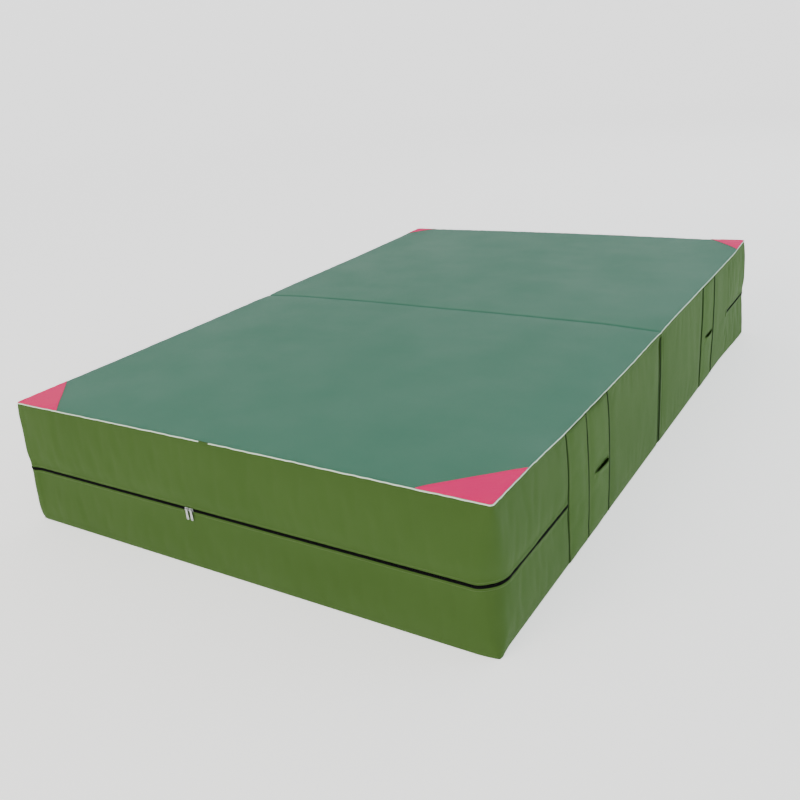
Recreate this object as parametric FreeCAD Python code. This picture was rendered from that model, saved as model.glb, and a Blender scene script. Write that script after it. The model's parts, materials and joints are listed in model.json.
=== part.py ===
"""Folding crash landing mat: two foam-filled blocks under one top sheet that hinges between them.

Units are millimetres. The origin is on the floor under the middle of the fold. +X runs across the mat,
+Y along its length from the front block to the back block, and +Z is up.
Each block is built in the front block's place, with its end face at -Y. The back block is then turned
half a turn about +Z, so a block's local +X side is the right side in front and the left side behind.
"""

import FreeCAD, Part
import os
from math import cos, radians, sin

V = FreeCAD.Vector

# Overall mat
WIDTH = 2000.0
LENGTH = 3000.0
HEIGHT = 500.0
HALF_WIDTH = WIDTH / 2
HALF_LENGTH = LENGTH / 2
END_CORNER_R = 60.0
FOLD_CORNER_R = 25.0

# Fold: the blocks stop short of each other, and the top sheet bends over a zone across the gap
FOLD_GAP = 6.0
HINGE_ZONE = 120.0
FOLD_FACE_Y = -FOLD_GAP / 2
SIDE_PANEL_Y = FOLD_FACE_Y - FOLD_CORNER_R

# Cover and foam
COVER_T = 1.5
FOAM_INSET = 4.5
FOAM_FLOOR = 3.0
FOAM_TOP = HEIGHT - 3.0
FOAM_CHAMFER = 12.0
BASE_FOAM_H = 200.0

# Piping round the top seam
PIPING_R = 4.0
PIPING_INSET = 1.5
PIPING_Z = HEIGHT - PIPING_R
TOP_PANEL_INSET = PIPING_INSET + PIPING_R
WALL_TOP_Z = PIPING_Z - PIPING_R
JOIN_TAB_LENGTH = 43.0
JOIN_TAB_X = -30.0
JOIN_TAB_T = 1.0
JOIN_TAB_ARC = (-45.0, 115.0)

# Zip round the end of each block, at constant height
ZIP_Z = 225.0
ZIP_GAP = 14.0
TAPE_WIDTH = 16.0
TAPE_T = 0.8
COIL_WIDTH = 8.0
COIL_T = 3.0
COIL_SLIT = 0.8
ZIP_END = {"front": 978.0, "back": 1130.0}
ZIP_COVER_INNER = 808.0
ZIP_STOP = (26.0, 30.0)

# Zip sliders and pulls; (low, high) pairs are distances outwards from the face of the end wall
SLIDER_X = {"left": -170.0, "right": -150.0}
SLIDER_LENGTH = 18.0
SLIDER_WIDTH = 13.0
SLIDER_CORNER_R = 3.0
SLIDER_FRONT = (1.8, 3.6)
SLIDER_BACK = (-4.1, -2.6)
SLIDER_FLANGE = (-0.9, 3.6)
SLIDER_FLANGE_T = 1.4
SLIDER_WEB_LENGTH = 7.0
SLIDER_WEB_T = 0.5
BRIDGE_Y = 6.4
BRIDGE_R = 1.1
BRIDGE_SPAN = 9.0
BRIDGE_POST = (3.6, 7.5)
BRIDGE_POST_LENGTH = 2.0
PULL_KNUCKLE_R = 2.4
PULL_BORE_R = BRIDGE_R + 0.06
PULL_WIDTH = (8.0, 11.0)
PULL_T = 1.6
PULL_REACH = 34.0
PULL_HOLE_R = 2.2

# Corner patches on the top sheet, in the front block's place. The back block's are smaller.
PATCH_LEG = {
    "front": {"+x": 235.0, "-x": 235.0},
    "back": {"+x": 130.0, "-x": 175.0},
}
PATCH_T = 0.8

# Carry handles: a band sewn down on each long side, standing off the wall round its hand slot
HANDLE_WIDTH = 200.0
HANDLE_FROM_FOLD = {"front": 708.0, "back": 741.0}
HANDLE_Z = (10.0, 490.0)
HANDLE_STAND_OFF = 8.0
SLOT_Z = 235.0
SLOT_LENGTH = 120.0
SLOT_HEIGHT = 14.0
SLOT_TOWARDS_FOLD = {"front": 12.0, "back": -18.0}
SLOT_MARGIN = 14.0


def box(x, y, z):
    """A box from three (low, high) pairs."""
    return Part.makeBox(x[1] - x[0], y[1] - y[0], z[1] - z[0], V(x[0], y[0], z[0]))


def block_prism(inset, z_low, z_high):
    """The block's plan outline, moved inwards by inset, extruded from z_low to z_high."""
    left, right = -HALF_WIDTH + inset, HALF_WIDTH - inset
    front, back = -HALF_LENGTH + inset, FOLD_FACE_Y - inset
    corners = [
        (left, front, END_CORNER_R, 1, 1),
        (right, front, END_CORNER_R, -1, 1),
        (right, back, FOLD_CORNER_R, -1, -1),
        (left, back, FOLD_CORNER_R, 1, -1),
    ]
    arcs = []
    for x, y, corner_r, inward_x, inward_y in corners:
        r = corner_r - inset
        centre = V(x + inward_x * r, y + inward_y * r, z_low)
        middle = centre - V(inward_x, inward_y, 0) * r * sin(radians(45))
        along_x = V(centre.x, y, z_low)
        along_y = V(x, centre.y, z_low)
        starts_on_side = inward_x == inward_y
        ends = (along_y, along_x) if starts_on_side else (along_x, along_y)
        arcs.append((ends[0], middle, ends[1]))
    edges = []
    for n, (start, middle, end) in enumerate(arcs):
        edges.append(Part.Arc(start, middle, end).toShape())
        edges.append(Part.LineSegment(end, arcs[(n + 1) % 4][0]).toShape())
    face = Part.Face(Part.Wire(edges))
    return face.extrude(V(0, 0, z_high - z_low))


def ring(outer, inner, z_low, z_high):
    """A wall that follows the block's outline, between two insets."""
    return block_prism(outer, z_low, z_high).cut(block_prism(inner, z_low, z_high))


def between_y(shape, y_low, y_high):
    """The part of shape between two planes across the mat."""
    far = HALF_WIDTH * 2
    return shape.common(box((-far, far), (y_low, y_high), (-HEIGHT, HEIGHT * 2)))


def end_strip(zip_end, outer, inner, z_low, z_high):
    """A U-shaped strip round the block's end, from one zip end to the other."""
    return between_y(ring(outer, inner, z_low, z_high), -LENGTH, -zip_end)


def foam_parts():
    """The firm base layer and the soft upper layer, glued face to face."""
    glue_z = FOAM_FLOOR + BASE_FOAM_H
    base = block_prism(FOAM_INSET, FOAM_FLOOR, glue_z)
    upper = block_prism(FOAM_INSET, glue_z, FOAM_TOP)
    top_edges = [e for e in upper.Edges if e.BoundBox.ZMin > FOAM_TOP - 0.1]
    return {"foam_base": base, "foam_top": upper.makeChamfer(FOAM_CHAMFER, top_edges)}


def cover_parts(zip_end):
    """Sewn panels of the block's cover, without the part of the top sheet that bends at the fold."""
    zip_low = ZIP_Z - ZIP_GAP / 2
    zip_high = ZIP_Z + ZIP_GAP / 2
    top = block_prism(TOP_PANEL_INSET, HEIGHT - COVER_T, HEIGHT)
    fold_wall = between_y(ring(0, COVER_T, COVER_T, WALL_TOP_Z), SIDE_PANEL_Y, 0)
    seam_edge = HALF_WIDTH - FOLD_CORNER_R
    fold_seam = box(
        (-seam_edge, seam_edge),
        (FOLD_FACE_Y - COVER_T, FOLD_FACE_Y),
        (WALL_TOP_Z, HEIGHT - COVER_T),
    )
    parts = {
        "top_panel": between_y(top, -LENGTH, -HINGE_ZONE / 2),
        "bottom_panel": block_prism(0, 0, COVER_T),
        "end_wall_upper": end_strip(zip_end, 0, COVER_T, zip_high, WALL_TOP_Z),
        "end_wall_lower": end_strip(zip_end, 0, COVER_T, COVER_T, zip_low),
        "fold_face": fold_wall.fuse(fold_seam).removeSplitter(),
    }
    for side, sign in (("+x", 1), ("-x", -1)):
        x = sorted((sign * (HALF_WIDTH - COVER_T), sign * HALF_WIDTH))
        parts["side_panel", side] = box(x, (-zip_end, SIDE_PANEL_Y), (COVER_T, WALL_TOP_Z))
    return parts


def zip_parts(zip_end):
    """Two tapes behind the wall edges and a coil on each, with a slit between the halves."""
    slit = COIL_SLIT / 2
    behind = COVER_T + TAPE_T
    proud = COVER_T - COIL_T
    parts = {}
    for half, sign in (("upper", 1), ("lower", -1)):
        tape_z = sorted((ZIP_Z + sign * slit, ZIP_Z + sign * TAPE_WIDTH))
        coil_z = sorted((ZIP_Z + sign * slit, ZIP_Z + sign * COIL_WIDTH / 2))
        parts["zip_tape_" + half] = end_strip(zip_end, COVER_T, behind, *tape_z)
        parts["zip_coil_" + half] = end_strip(zip_end, proud, COVER_T, *coil_z)
    return parts


def about(middle, size):
    """A (low, high) pair of the given size about a middle value."""
    return (middle - size / 2, middle + size / 2)


def outward(offsets):
    """Turns two distances outwards from the end wall's face into a (low, high) pair along Y."""
    return (-HALF_LENGTH - offsets[1], -HALF_LENGTH - offsets[0])


def bar_along_x(r, x):
    """A round bar on the line that the pulls hang from."""
    return Part.makeCylinder(r, x[1] - x[0], V(x[0], -HALF_LENGTH - BRIDGE_Y, ZIP_Z), V(1, 0, 0))


def slider(x):
    """A zip slider: two plates, a web through the slit, flanges, and a bridge for the pull."""
    along = about(x, SLIDER_LENGTH)
    across = about(ZIP_Z, SLIDER_WIDTH)
    pieces = []
    for offsets in (SLIDER_FRONT, SLIDER_BACK):
        plate = box(along, outward(offsets), across)
        corners = [e for e in plate.Edges if e.BoundBox.XLength < 0.1 and e.BoundBox.ZLength < 0.1]
        pieces.append(plate.makeFillet(SLIDER_CORNER_R, corners))
    through = outward((SLIDER_BACK[0], SLIDER_FRONT[1]))
    pieces.append(box(about(x, SLIDER_WEB_LENGTH), through, about(ZIP_Z, SLIDER_WEB_T)))
    post_middle = (BRIDGE_SPAN + BRIDGE_POST_LENGTH) / 2
    flange_middle = (SLIDER_WIDTH - SLIDER_FLANGE_T) / 2
    flange_x = about(x, SLIDER_LENGTH - 2 * SLIDER_CORNER_R)
    for sign in (1, -1):
        flange_z = about(ZIP_Z + sign * flange_middle, SLIDER_FLANGE_T)
        pieces.append(box(flange_x, outward(SLIDER_FLANGE), flange_z))
        post_x = about(x + sign * post_middle, BRIDGE_POST_LENGTH)
        pieces.append(box(post_x, outward(BRIDGE_POST), about(ZIP_Z, 2 * BRIDGE_R)))
    pieces.append(bar_along_x(BRIDGE_R, about(x, BRIDGE_SPAN)))
    return pieces[0].multiFuse(pieces[1:]).removeSplitter()


def pull(x):
    """A pull tab that hangs by its rolled eye and widens to a rounded tip with a hole."""
    y_low, y_high = outward(about(BRIDGE_Y, PULL_T))
    head, tip = (width / 2 for width in PULL_WIDTH)
    tip_z = ZIP_Z - PULL_REACH
    corners = [V(x + head, y_low, ZIP_Z), V(x + tip, y_low, tip_z)]
    corners += [V(x - tip, y_low, tip_z), V(x - head, y_low, ZIP_Z)]
    outline = Part.Wire([
        Part.LineSegment(corners[0], corners[1]).toShape(),
        Part.Arc(corners[1], V(x, y_low, tip_z - tip), corners[2]).toShape(),
        Part.LineSegment(corners[2], corners[3]).toShape(),
        Part.LineSegment(corners[3], corners[0]).toShape(),
    ])
    tab = Part.Face(outline).extrude(V(0, y_high - y_low, 0))
    hole = Part.makeCylinder(PULL_HOLE_R, y_high - y_low, V(x, y_low, tip_z), V(0, 1, 0))
    eye = bar_along_x(PULL_KNUCKLE_R, about(x, PULL_WIDTH[0]))
    bore = bar_along_x(PULL_BORE_R, about(x, PULL_WIDTH[1]))
    return tab.fuse(eye).removeSplitter().cut(bore).cut(hole)


def piping():
    """A cord round three sides of the block, stopping where the hinge zone begins."""
    x = HALF_WIDTH - PIPING_INSET
    y = -HALF_LENGTH + PIPING_INSET
    r = END_CORNER_R - PIPING_INSET
    start_y = -HINGE_ZONE / 2
    rise = r - r * sin(radians(45))
    right = [V(x, start_y, PIPING_Z), V(x, y + r, PIPING_Z)]
    front = [V(x - r, y, PIPING_Z), V(-x + r, y, PIPING_Z)]
    left = [V(-x, y + r, PIPING_Z), V(-x, start_y, PIPING_Z)]
    path = Part.Wire([
        Part.LineSegment(*right).toShape(),
        Part.Arc(right[1], V(x - rise, y + rise, PIPING_Z), front[0]).toShape(),
        Part.LineSegment(*front).toShape(),
        Part.Arc(front[1], V(-x + rise, y + rise, PIPING_Z), left[0]).toShape(),
        Part.LineSegment(*left).toShape(),
    ])
    circle = Part.Circle(right[0], V(0, 1, 0), PIPING_R).toShape()
    return path.makePipeShell([Part.Wire([circle])], True, False)


def join_tab():
    """A short sleeve over the outer side of the front piping, hiding where its two ends meet."""
    r_in = PIPING_R + 0.05
    r_out = r_in + JOIN_TAB_T
    centre_y = -HALF_LENGTH + PIPING_INSET
    x = JOIN_TAB_X - JOIN_TAB_LENGTH / 2

    def at(r, degrees):
        a = radians(degrees)
        return V(x, centre_y - r * cos(a), PIPING_Z + r * sin(a))

    low, high = JOIN_TAB_ARC
    mid = (low + high) / 2
    edges = [
        Part.Arc(at(r_in, low), at(r_in, mid), at(r_in, high)).toShape(),
        Part.LineSegment(at(r_in, high), at(r_out, high)).toShape(),
        Part.Arc(at(r_out, high), at(r_out, mid), at(r_out, low)).toShape(),
        Part.LineSegment(at(r_out, low), at(r_in, low)).toShape(),
    ]
    return Part.Face(Part.Wire(edges)).extrude(V(JOIN_TAB_LENGTH, 0, 0))


def corner_patch(sign, leg):
    """A triangle sewn flat on a free corner of the top sheet."""
    x = sign * HALF_WIDTH
    y = -HALF_LENGTH
    triangle = Part.makePolygon([
        V(x, y, HEIGHT),
        V(x - sign * leg, y, HEIGHT),
        V(x, y + leg, HEIGHT),
        V(x, y, HEIGHT),
    ])
    prism = Part.Face(triangle).extrude(V(0, 0, PATCH_T))
    return prism.common(block_prism(TOP_PANEL_INSET, HEIGHT, HEIGHT + PATCH_T))


def raised_pad(y, z, raised_y, raised_z):
    """A pad on the +X wall that rises from one rectangle to a smaller one."""
    pad = Part.makeWedge(
        -y[1], 0, z[0], raised_z[0], -raised_y[1],
        -y[0], HANDLE_STAND_OFF, z[1], raised_z[1], -raised_y[0],
    )
    pad.rotate(V(0, 0, 0), V(0, 0, 1), -90)
    pad.translate(V(HALF_WIDTH, 0, 0))
    return pad


def handle(sign, which):
    """A band sewn down along its edges that stands off the wall round the hand slot."""
    y = about(-HANDLE_FROM_FOLD[which], HANDLE_WIDTH)
    slot_y = -HANDLE_FROM_FOLD[which] + SLOT_TOWARDS_FOLD[which]
    raised_y = about(slot_y, SLOT_LENGTH + 2 * SLOT_MARGIN)
    raised_z = about(SLOT_Z, SLOT_HEIGHT + 2 * SLOT_MARGIN)
    inner = raised_pad(y, HANDLE_Z, raised_y, raised_z)
    outer = inner.translated(V(COVER_T, 0, 0))
    outer = outer.fuse(box((HALF_WIDTH, HALF_WIDTH + COVER_T), y, HANDLE_Z))
    beyond = HALF_WIDTH + 2 * HANDLE_STAND_OFF
    slot = box((HALF_WIDTH, beyond), about(slot_y, SLOT_LENGTH), about(SLOT_Z, SLOT_HEIGHT))
    band = outer.cut(inner).cut(slot).removeSplitter()
    return band if sign > 0 else band.mirror(V(0, 0, 0), V(1, 0, 0))


def side_patch(sign, y, z):
    """A flat patch on the outside of a long side wall."""
    x = sorted((sign * HALF_WIDTH, sign * (HALF_WIDTH + COVER_T)))
    return box(x, y, z)


def block_parts(which):
    """Every sub-part of one block, in the front block's place."""
    zip_end = ZIP_END[which]
    parts = {**foam_parts(), **cover_parts(zip_end), **zip_parts(zip_end)}
    parts["piping"] = piping()
    for side, x in SLIDER_X.items():
        parts["zip_slider", side] = slider(x)
        parts["zip_pull", side] = pull(x)
    for side, sign in (("+x", 1), ("-x", -1)):
        parts["corner_patch", side] = corner_patch(sign, PATCH_LEG[which][side])
        parts["handle", side] = handle(sign, which)
        if which == "front":
            cover_y = (-zip_end, -ZIP_COVER_INNER)
            parts["zip_end_cover", side] = side_patch(sign, cover_y, HANDLE_Z)
        else:
            stop_y = (-zip_end, -zip_end + ZIP_STOP[0])
            parts["zip_end_stop", side] = side_patch(sign, stop_y, about(ZIP_Z, ZIP_STOP[1]))
    return parts


def fold_parts():
    """The part of the top sheet, and of its piping, that bends when the mat folds."""
    half = HINGE_ZONE / 2
    x = HALF_WIDTH - TOP_PANEL_INSET
    parts = {"fold_hinge_panel": box((-x, x), (-half, half), (HEIGHT - COVER_T, HEIGHT))}
    for side, sign in (("right", 1), ("left", -1)):
        start = V(sign * (HALF_WIDTH - PIPING_INSET), -half, PIPING_Z)
        parts["fold_piping_" + side] = Part.makeCylinder(PIPING_R, HINGE_ZONE, start, V(0, 1, 0))
    return parts


def node_name(which, key):
    """The name of a sub-part, with its side as seen in the finished mat."""
    if isinstance(key, str):
        return which + "_" + key
    part, side = key
    front_names = {"+x": "right", "-x": "left", "left": "left", "right": "right"}
    back_names = {"+x": "left", "-x": "right", "left": "right", "right": "left"}
    sides = front_names if which == "front" else back_names
    return which + "_" + part + "_" + sides[side]


def mat_parts():
    """Every node of the mat in its place."""
    nodes = dict(fold_parts())
    for which in ("front", "back"):
        for key, shape in block_parts(which).items():
            if which == "back":
                shape = shape.copy()
                shape.rotate(V(0, 0, 0), V(0, 0, 1), 180)
            nodes[node_name(which, key)] = shape
    nodes["front_piping_join_tab"] = join_tab()
    return nodes


def main():
    os.makedirs("parts", exist_ok=True)
    for name, shape in sorted(mat_parts().items()):
        solids = shape.Solids
        if len(solids) != 1 or not solids[0].isValid():
            raise ValueError(name + " is not one valid solid")
        solids[0].exportStep("parts/" + name + ".step")
        size = shape.BoundBox
        print(f"{name:32s} {size.XLength:8.1f} {size.YLength:8.1f} {size.ZLength:7.1f}"
              f"  volume {shape.Volume / 1000:.1f} cm3")


main()
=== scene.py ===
"""Looks of the folding crash landing mat: its soft covers, piping, zips, bands and patches.

Everything is in metres in the row frame. Each block is described in the front block's place, with its end
at -Y, and the back block is the same thing turned half a turn about +Z. "a" is the distance round a block's
outline from its right fold corner: down the right side, across the end, and back up the left side.
"""

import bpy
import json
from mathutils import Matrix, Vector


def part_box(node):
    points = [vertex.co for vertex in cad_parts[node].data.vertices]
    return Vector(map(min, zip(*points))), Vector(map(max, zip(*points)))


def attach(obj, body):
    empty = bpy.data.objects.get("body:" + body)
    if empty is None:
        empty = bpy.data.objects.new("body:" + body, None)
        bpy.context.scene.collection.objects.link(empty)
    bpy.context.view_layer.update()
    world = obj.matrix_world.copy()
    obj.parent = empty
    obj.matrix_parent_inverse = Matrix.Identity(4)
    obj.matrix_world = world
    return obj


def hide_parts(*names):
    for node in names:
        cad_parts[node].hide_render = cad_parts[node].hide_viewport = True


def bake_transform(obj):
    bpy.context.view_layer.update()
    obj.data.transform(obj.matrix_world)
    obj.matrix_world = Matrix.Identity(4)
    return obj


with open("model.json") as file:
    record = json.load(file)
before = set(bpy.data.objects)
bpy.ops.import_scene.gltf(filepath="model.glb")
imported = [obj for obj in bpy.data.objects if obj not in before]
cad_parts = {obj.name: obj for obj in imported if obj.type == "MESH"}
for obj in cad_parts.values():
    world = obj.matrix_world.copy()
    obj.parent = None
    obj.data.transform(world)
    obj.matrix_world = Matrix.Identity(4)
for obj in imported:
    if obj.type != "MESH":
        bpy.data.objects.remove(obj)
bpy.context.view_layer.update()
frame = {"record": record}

import json
import math

import bpy
import numpy as np
from mathutils import Matrix, Vector

MM = 0.001


def mm(*lengths):
    """Lengths in metres from lengths in millimetres."""
    return tuple(length * MM for length in lengths)


# ---------------------------------------------------------------- sizes from the frame

base_low, base_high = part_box("front_bottom_panel")
HALF_W = base_high.x
END_Y = base_low.y
FOLD_Y = base_high.y
HALF_L = -END_Y
TOP_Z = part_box("front_top_panel")[1].z
ZIP_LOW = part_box("front_end_wall_lower")[1].z
ZIP_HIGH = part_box("front_end_wall_upper")[0].z
ZIP_Z = (ZIP_LOW + ZIP_HIGH) / 2
PIPING_R = (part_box("fold_piping_right")[1].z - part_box("fold_piping_right")[0].z) / 2
PIPING_INSET = HALF_W - (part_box("fold_piping_right")[0].x + PIPING_R)
SLOTS = {o["name"]: o["box_m"] for o in frame["record"]["physics"]["openings"]}

SIDE = FOLD_Y - END_Y
ACROSS = 2 * HALF_W
CORNERS = np.array([(HALF_W, FOLD_Y), (HALF_W, END_Y), (-HALF_W, END_Y), (-HALF_W, FOLD_Y)])
CORNER_A = np.array([0, SIDE, SIDE + ACROSS, 2 * SIDE + ACROSS])
TANGENTS = np.array([(0, -1), (-1, 0), (0, 1), (1, 0)], float)
LEFT_FOLD_A = CORNER_A[3]
LOOP = 2 * SIDE + 2 * ACROSS
END_REACH = 0.16
FOLD_REACH = 0.06


class Block:
    """One block's name, which way round it is, and where things are along its sides."""

    def __init__(self, name, turn):
        self.name = name
        self.turn = turn
        self.body = name + "_block"
        self.zip_a = self.side_a(f"{name}_zip_tape_upper", outer=False)
        self.handle = tuple(self.side_a(f"{name}_handle_right", outer) for outer in (False, True))
        low, high = SLOTS[f"{name}_hand_slot_right"]
        self.slot = tuple(sorted(FOLD_Y - turn * y for y in (low[1], high[1])))
        self.slot_z = (low[2] + high[2]) / 2
        self.seams = [self.zip_a, *self.handle] if name == "front" else list(self.handle)

    def side_a(self, node, outer):
        """How far along the right side the inner or outer edge of a node is."""
        low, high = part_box(node)
        inner_y, outer_y = sorted((abs(low.y), abs(high.y)))
        return (outer_y if outer else inner_y) + FOLD_Y


BLOCKS = [Block("front", 1), Block("back", -1)]


# ---------------------------------------------------------------- smooth functions

def smoothstep(x):
    x = np.clip(x, 0, 1)
    return x * x * (3 - 2 * x)


def eased(x, knots, values):
    """The values at the knots, with smooth steps between them."""
    knots, values = np.asarray(knots, float), np.asarray(values, float)
    i = np.clip(np.searchsorted(knots, x) - 1, 0, len(knots) - 2)
    share = smoothstep((x - knots[i]) / (knots[i + 1] - knots[i]))
    return values[i] + (values[i + 1] - values[i]) * share


def bell(x, width):
    return np.exp(-(x / width) ** 2)


def ripples(u, v, length, seed, count=14):
    """Smooth random ripples of about that wavelength, mostly between -1 and 1."""
    rng = np.random.default_rng(seed)
    total = 0
    for angle, stretch, phase in rng.uniform((0, 0.6, 0), (math.pi, 1.5, 2 * math.pi), (count, 3)):
        k = 2 * math.pi / length * stretch
        total = total + np.sin(k * (u * math.cos(angle) + v * math.sin(angle)) + phase)
    return total / math.sqrt(count)


def grid_of(u, v):
    """Two arrays with every u against every v, u along the first axis."""
    return np.meshgrid(u, v, indexing="ij")


def spaced(start, end, step, finer_at=(), fine=(1.3, 2.6, 4, 5.5, 7.5, 11, 16, 24)):
    """Values from start to end about step apart, with more of them round the places named."""
    values = set(np.round(np.linspace(start, end, max(2, round((end - start) / step) + 1)), 6))
    for spot in finer_at:
        near = {round(spot + sign * f * MM, 6) for f in (0, *fine) for sign in (1, -1)}
        span = fine[-1] * MM
        values = {v for v in values if abs(v - spot) > span or v in (start, end)}
        values |= {v for v in near if start < v < end}
    values |= {round(start, 6), round(end, 6)}
    values = np.array(sorted(values))
    return values[np.concatenate([[True], np.diff(values) > 0.3 * MM])]


# ---------------------------------------------------------------- shape of the soft mat

SAG_Y = (-1.5, -1.25, -0.95, -0.4, 0, 0.2, 0.75, 1.2, 1.5)
RIGHT_SAG = mm(0, 4, 18, 21, 8, 3, 2, 1, -8)
LEFT_SAG = mm(0, 2, 4, 6, 7, 6, 6, 2, -3)
RIGHT_PUSH = mm(0, -2, -6, -6, 0, 2, 1, -1, -6)
LEFT_PUSH = mm(0, 0, -2, -3, 0, 1, 2, 1, 0)
FRONT_END_SAG = 1.5 * MM
BACK_END_SAG = -2.5 * MM
END_PUSH = 2 * MM
SAG_REACH = 0.15
PUSH_REACH = 0.2
FOLD_FADE = 0.08
CORNER_FADE = 0.15
CROWN = 6.5 * MM
BLOCK_CROWN = 1.2 * MM
CREASE_DEPTH = 5 * MM
CREASE_WIDTH = 8 * MM
FOLD_DIP = 2 * MM
FOLD_DIP_WIDTH = 60 * MM
EDGE_TUCK = 2 * MM
EDGE_TUCK_WIDTH = 8 * MM
TOP_RUMPLE = mm(0.6, 0.25)
WALL_RUMPLE = mm(1.3, 0.4)
SEAM_DROP = 4 * MM
END_R_Z = (0, 0.10, 0.225, 0.36, 0.49)
END_R = mm(11, 55, 88, 50, 11)
LEFT_END_R = mm(11, 17, 15, 13, 11)
FOLD_R_DEPTH = (0, 0.035, 0.20, 0.44, 0.49)
FOLD_R = mm(6, 34, 14, 12, 12)
BULGE = 11 * MM
SIDE_BULGE = 4.5 * MM
LEFT_CORNER_BULGE = 17 * MM
LEFT_FILL_AT = 15 * MM
LEFT_FILL_WIDTH = 35 * MM
LEFT_FILL_TOP = 0.42
LEFT_FILL_FADE = 0.25
ZIP_CORNER_FILL = 3.6 * MM
ZIP_FILL_AT = 47 * MM
ZIP_FILL_WIDTH = 20 * MM
ZIPPED_FADE = 0.06
PULLS_BELOW_ZIP = 15 * MM
PULLS_REACH = 50 * MM
PULLS_CALM = 0.9
ZIP_CALM_REACH = 16 * MM
END_SPLAY = 13 * MM
SPLAY_FADE = 0.5
SPLAY_HEIGHT = 0.06
ZIP_PINCH = 1.5 * MM
SEAM_DEPTH = 3.5 * MM
SEAM_WIDTH = 4.5 * MM
SEAM_FOOT = 12 * MM
SLOPE_REACH = mm(26, 10)
SLOPE_DEPTH = 3 * MM
SLOPE_FOOT = 60 * MM
FOLD_FACE_BACK = 4 * MM
FOLD_FACE_FADE = 40 * MM
FACE_FADE = 0.10
PUCKER = 0.55 * MM
PUCKER_LENGTH = 40 * MM
POCKET_DEPTH = 24 * MM
POCKET_REACH = 32 * MM
BOTTOM_TUCK = 3 * MM
TUCK_HEIGHT = 9 * MM
LOOSE_FROM = 0.25


def side_push(x, y):
    """How far the top seam of a long side stands out from the flat outline."""
    return np.where(x > 0, eased(y, SAG_Y, RIGHT_PUSH), eased(y, SAG_Y, LEFT_PUSH))


def end_push(x):
    """The same for an end's top seam."""
    return END_PUSH * np.clip(1 - (x / HALF_W) ** 4, 0, 1)


def top_z(x, y):
    """Height of the top sheet's upper face."""
    sag = eased(y, SAG_Y, RIGHT_SAG) * bell(np.maximum(HALF_W - x, 0), SAG_REACH)
    sag = sag + eased(y, SAG_Y, LEFT_SAG) * bell(np.maximum(HALF_W + x, 0), SAG_REACH)
    from_end = np.maximum(HALF_L - np.abs(y), 0)
    end_sag = np.where(y < 0, FRONT_END_SAG, BACK_END_SAG) * np.clip(1 - (x / HALF_W) ** 4, 0, 1)
    sag = sag + end_sag * bell(from_end, SAG_REACH)
    across = np.clip(1 - (x / HALF_W) ** 2, 0, 1)
    crown = (CROWN + BLOCK_CROWN * np.sin(math.pi * np.abs(y) / HALF_L) ** 2) * across
    crease = CREASE_DEPTH * bell(y, CREASE_WIDTH) + FOLD_DIP * bell(y, FOLD_DIP_WIDTH)
    inside = np.clip(np.minimum(HALF_W - np.abs(x), from_end), 0, 1)
    loose = smoothstep(inside / LOOSE_FROM)
    broad, fine = TOP_RUMPLE[0] * ripples(x, y, 0.55, 3), TOP_RUMPLE[1] * ripples(x, y, 0.17, 4)
    along_edge = np.where(HALF_W - np.abs(x) < from_end, y, x)
    pucker = 0.5 * MM * ripples(along_edge, inside, 0.05, 5) * bell(inside, 0.035)
    tuck = EDGE_TUCK * np.exp(-inside / EDGE_TUCK_WIDTH)
    return TOP_Z + crown - sag - crease - tuck + loose * (broad + fine) + pucker


def rounded(t, reach, r):
    """A path round a right-angled corner, t past the sharp corner: how far its point lies along the way in
    and the way out, and the angle turned so far."""
    arc = r * math.pi / 2
    total = 2 * (reach - r) + arc
    eased_q = (t + reach) / (2 * reach) * total
    q = np.where(t < -reach, t + reach, np.where(t > reach, total + t - reach, eased_q)) - (reach - r)
    angle = np.clip(q / r, 0, math.pi / 2)
    way_in = r * np.sin(angle) - r + np.minimum(q, 0)
    way_out = r - r * np.cos(angle) + np.maximum(q - arc, 0)
    return way_in, way_out, angle


def plan(a, z, r_fold):
    """Points on a block's outline at that height, and its outward normals, in the front block's place."""
    a, z, r_fold = np.broadcast_arrays(np.asarray(a, float) % LOOP, z, r_fold)
    offsets = (a[..., None] - CORNER_A + LOOP / 2) % LOOP - LOOP / 2
    k = np.abs(offsets).argmin(-1)
    t = np.take_along_axis(offsets, k[..., None], -1)[..., 0]
    at_end = (k == 1) | (k == 2)
    r_end = np.where(k == 1, eased(z, END_R_Z, END_R), eased(z, END_R_Z, LEFT_END_R))
    reach = np.where(at_end, END_REACH, FOLD_REACH)
    way_in, way_out, angle = rounded(t, reach, np.where(at_end, r_end, r_fold))
    t_in, t_out = TANGENTS[k - 1], TANGENTS[k]
    normal = t_in * np.sin(angle)[..., None] - t_out * np.cos(angle)[..., None]
    return CORNERS[k] + t_in * way_in[..., None] + t_out * way_out[..., None], normal


def rounded_rect(x, y, y_range, radii, reaches):
    """Rounds the corners of a rectangle as wide as the mat, by moving its points."""
    from_side = HALF_W - np.abs(x)
    from_low, from_high = y - y_range[0], y_range[1] - y
    at_low = from_low < from_high
    from_end = np.where(at_low, from_low, from_high)
    inset = np.minimum(from_side, from_end)
    reach = np.where(at_low, *reaches)
    r = np.maximum(np.where(at_low, *radii) - inset, 0.2 * MM)
    way_in, way_out, _ = rounded(from_side - from_end, np.maximum(reach - inset, 1 * MM), r)
    at_corner = np.maximum(from_side, from_end) < reach
    from_side = np.where(at_corner, inset + way_out, from_side)
    from_end = np.where(at_corner, inset - way_in, from_end)
    return np.sign(x) * (HALF_W - from_side), np.where(at_low, y_range[0] + from_end, y_range[1] - from_end)


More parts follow.
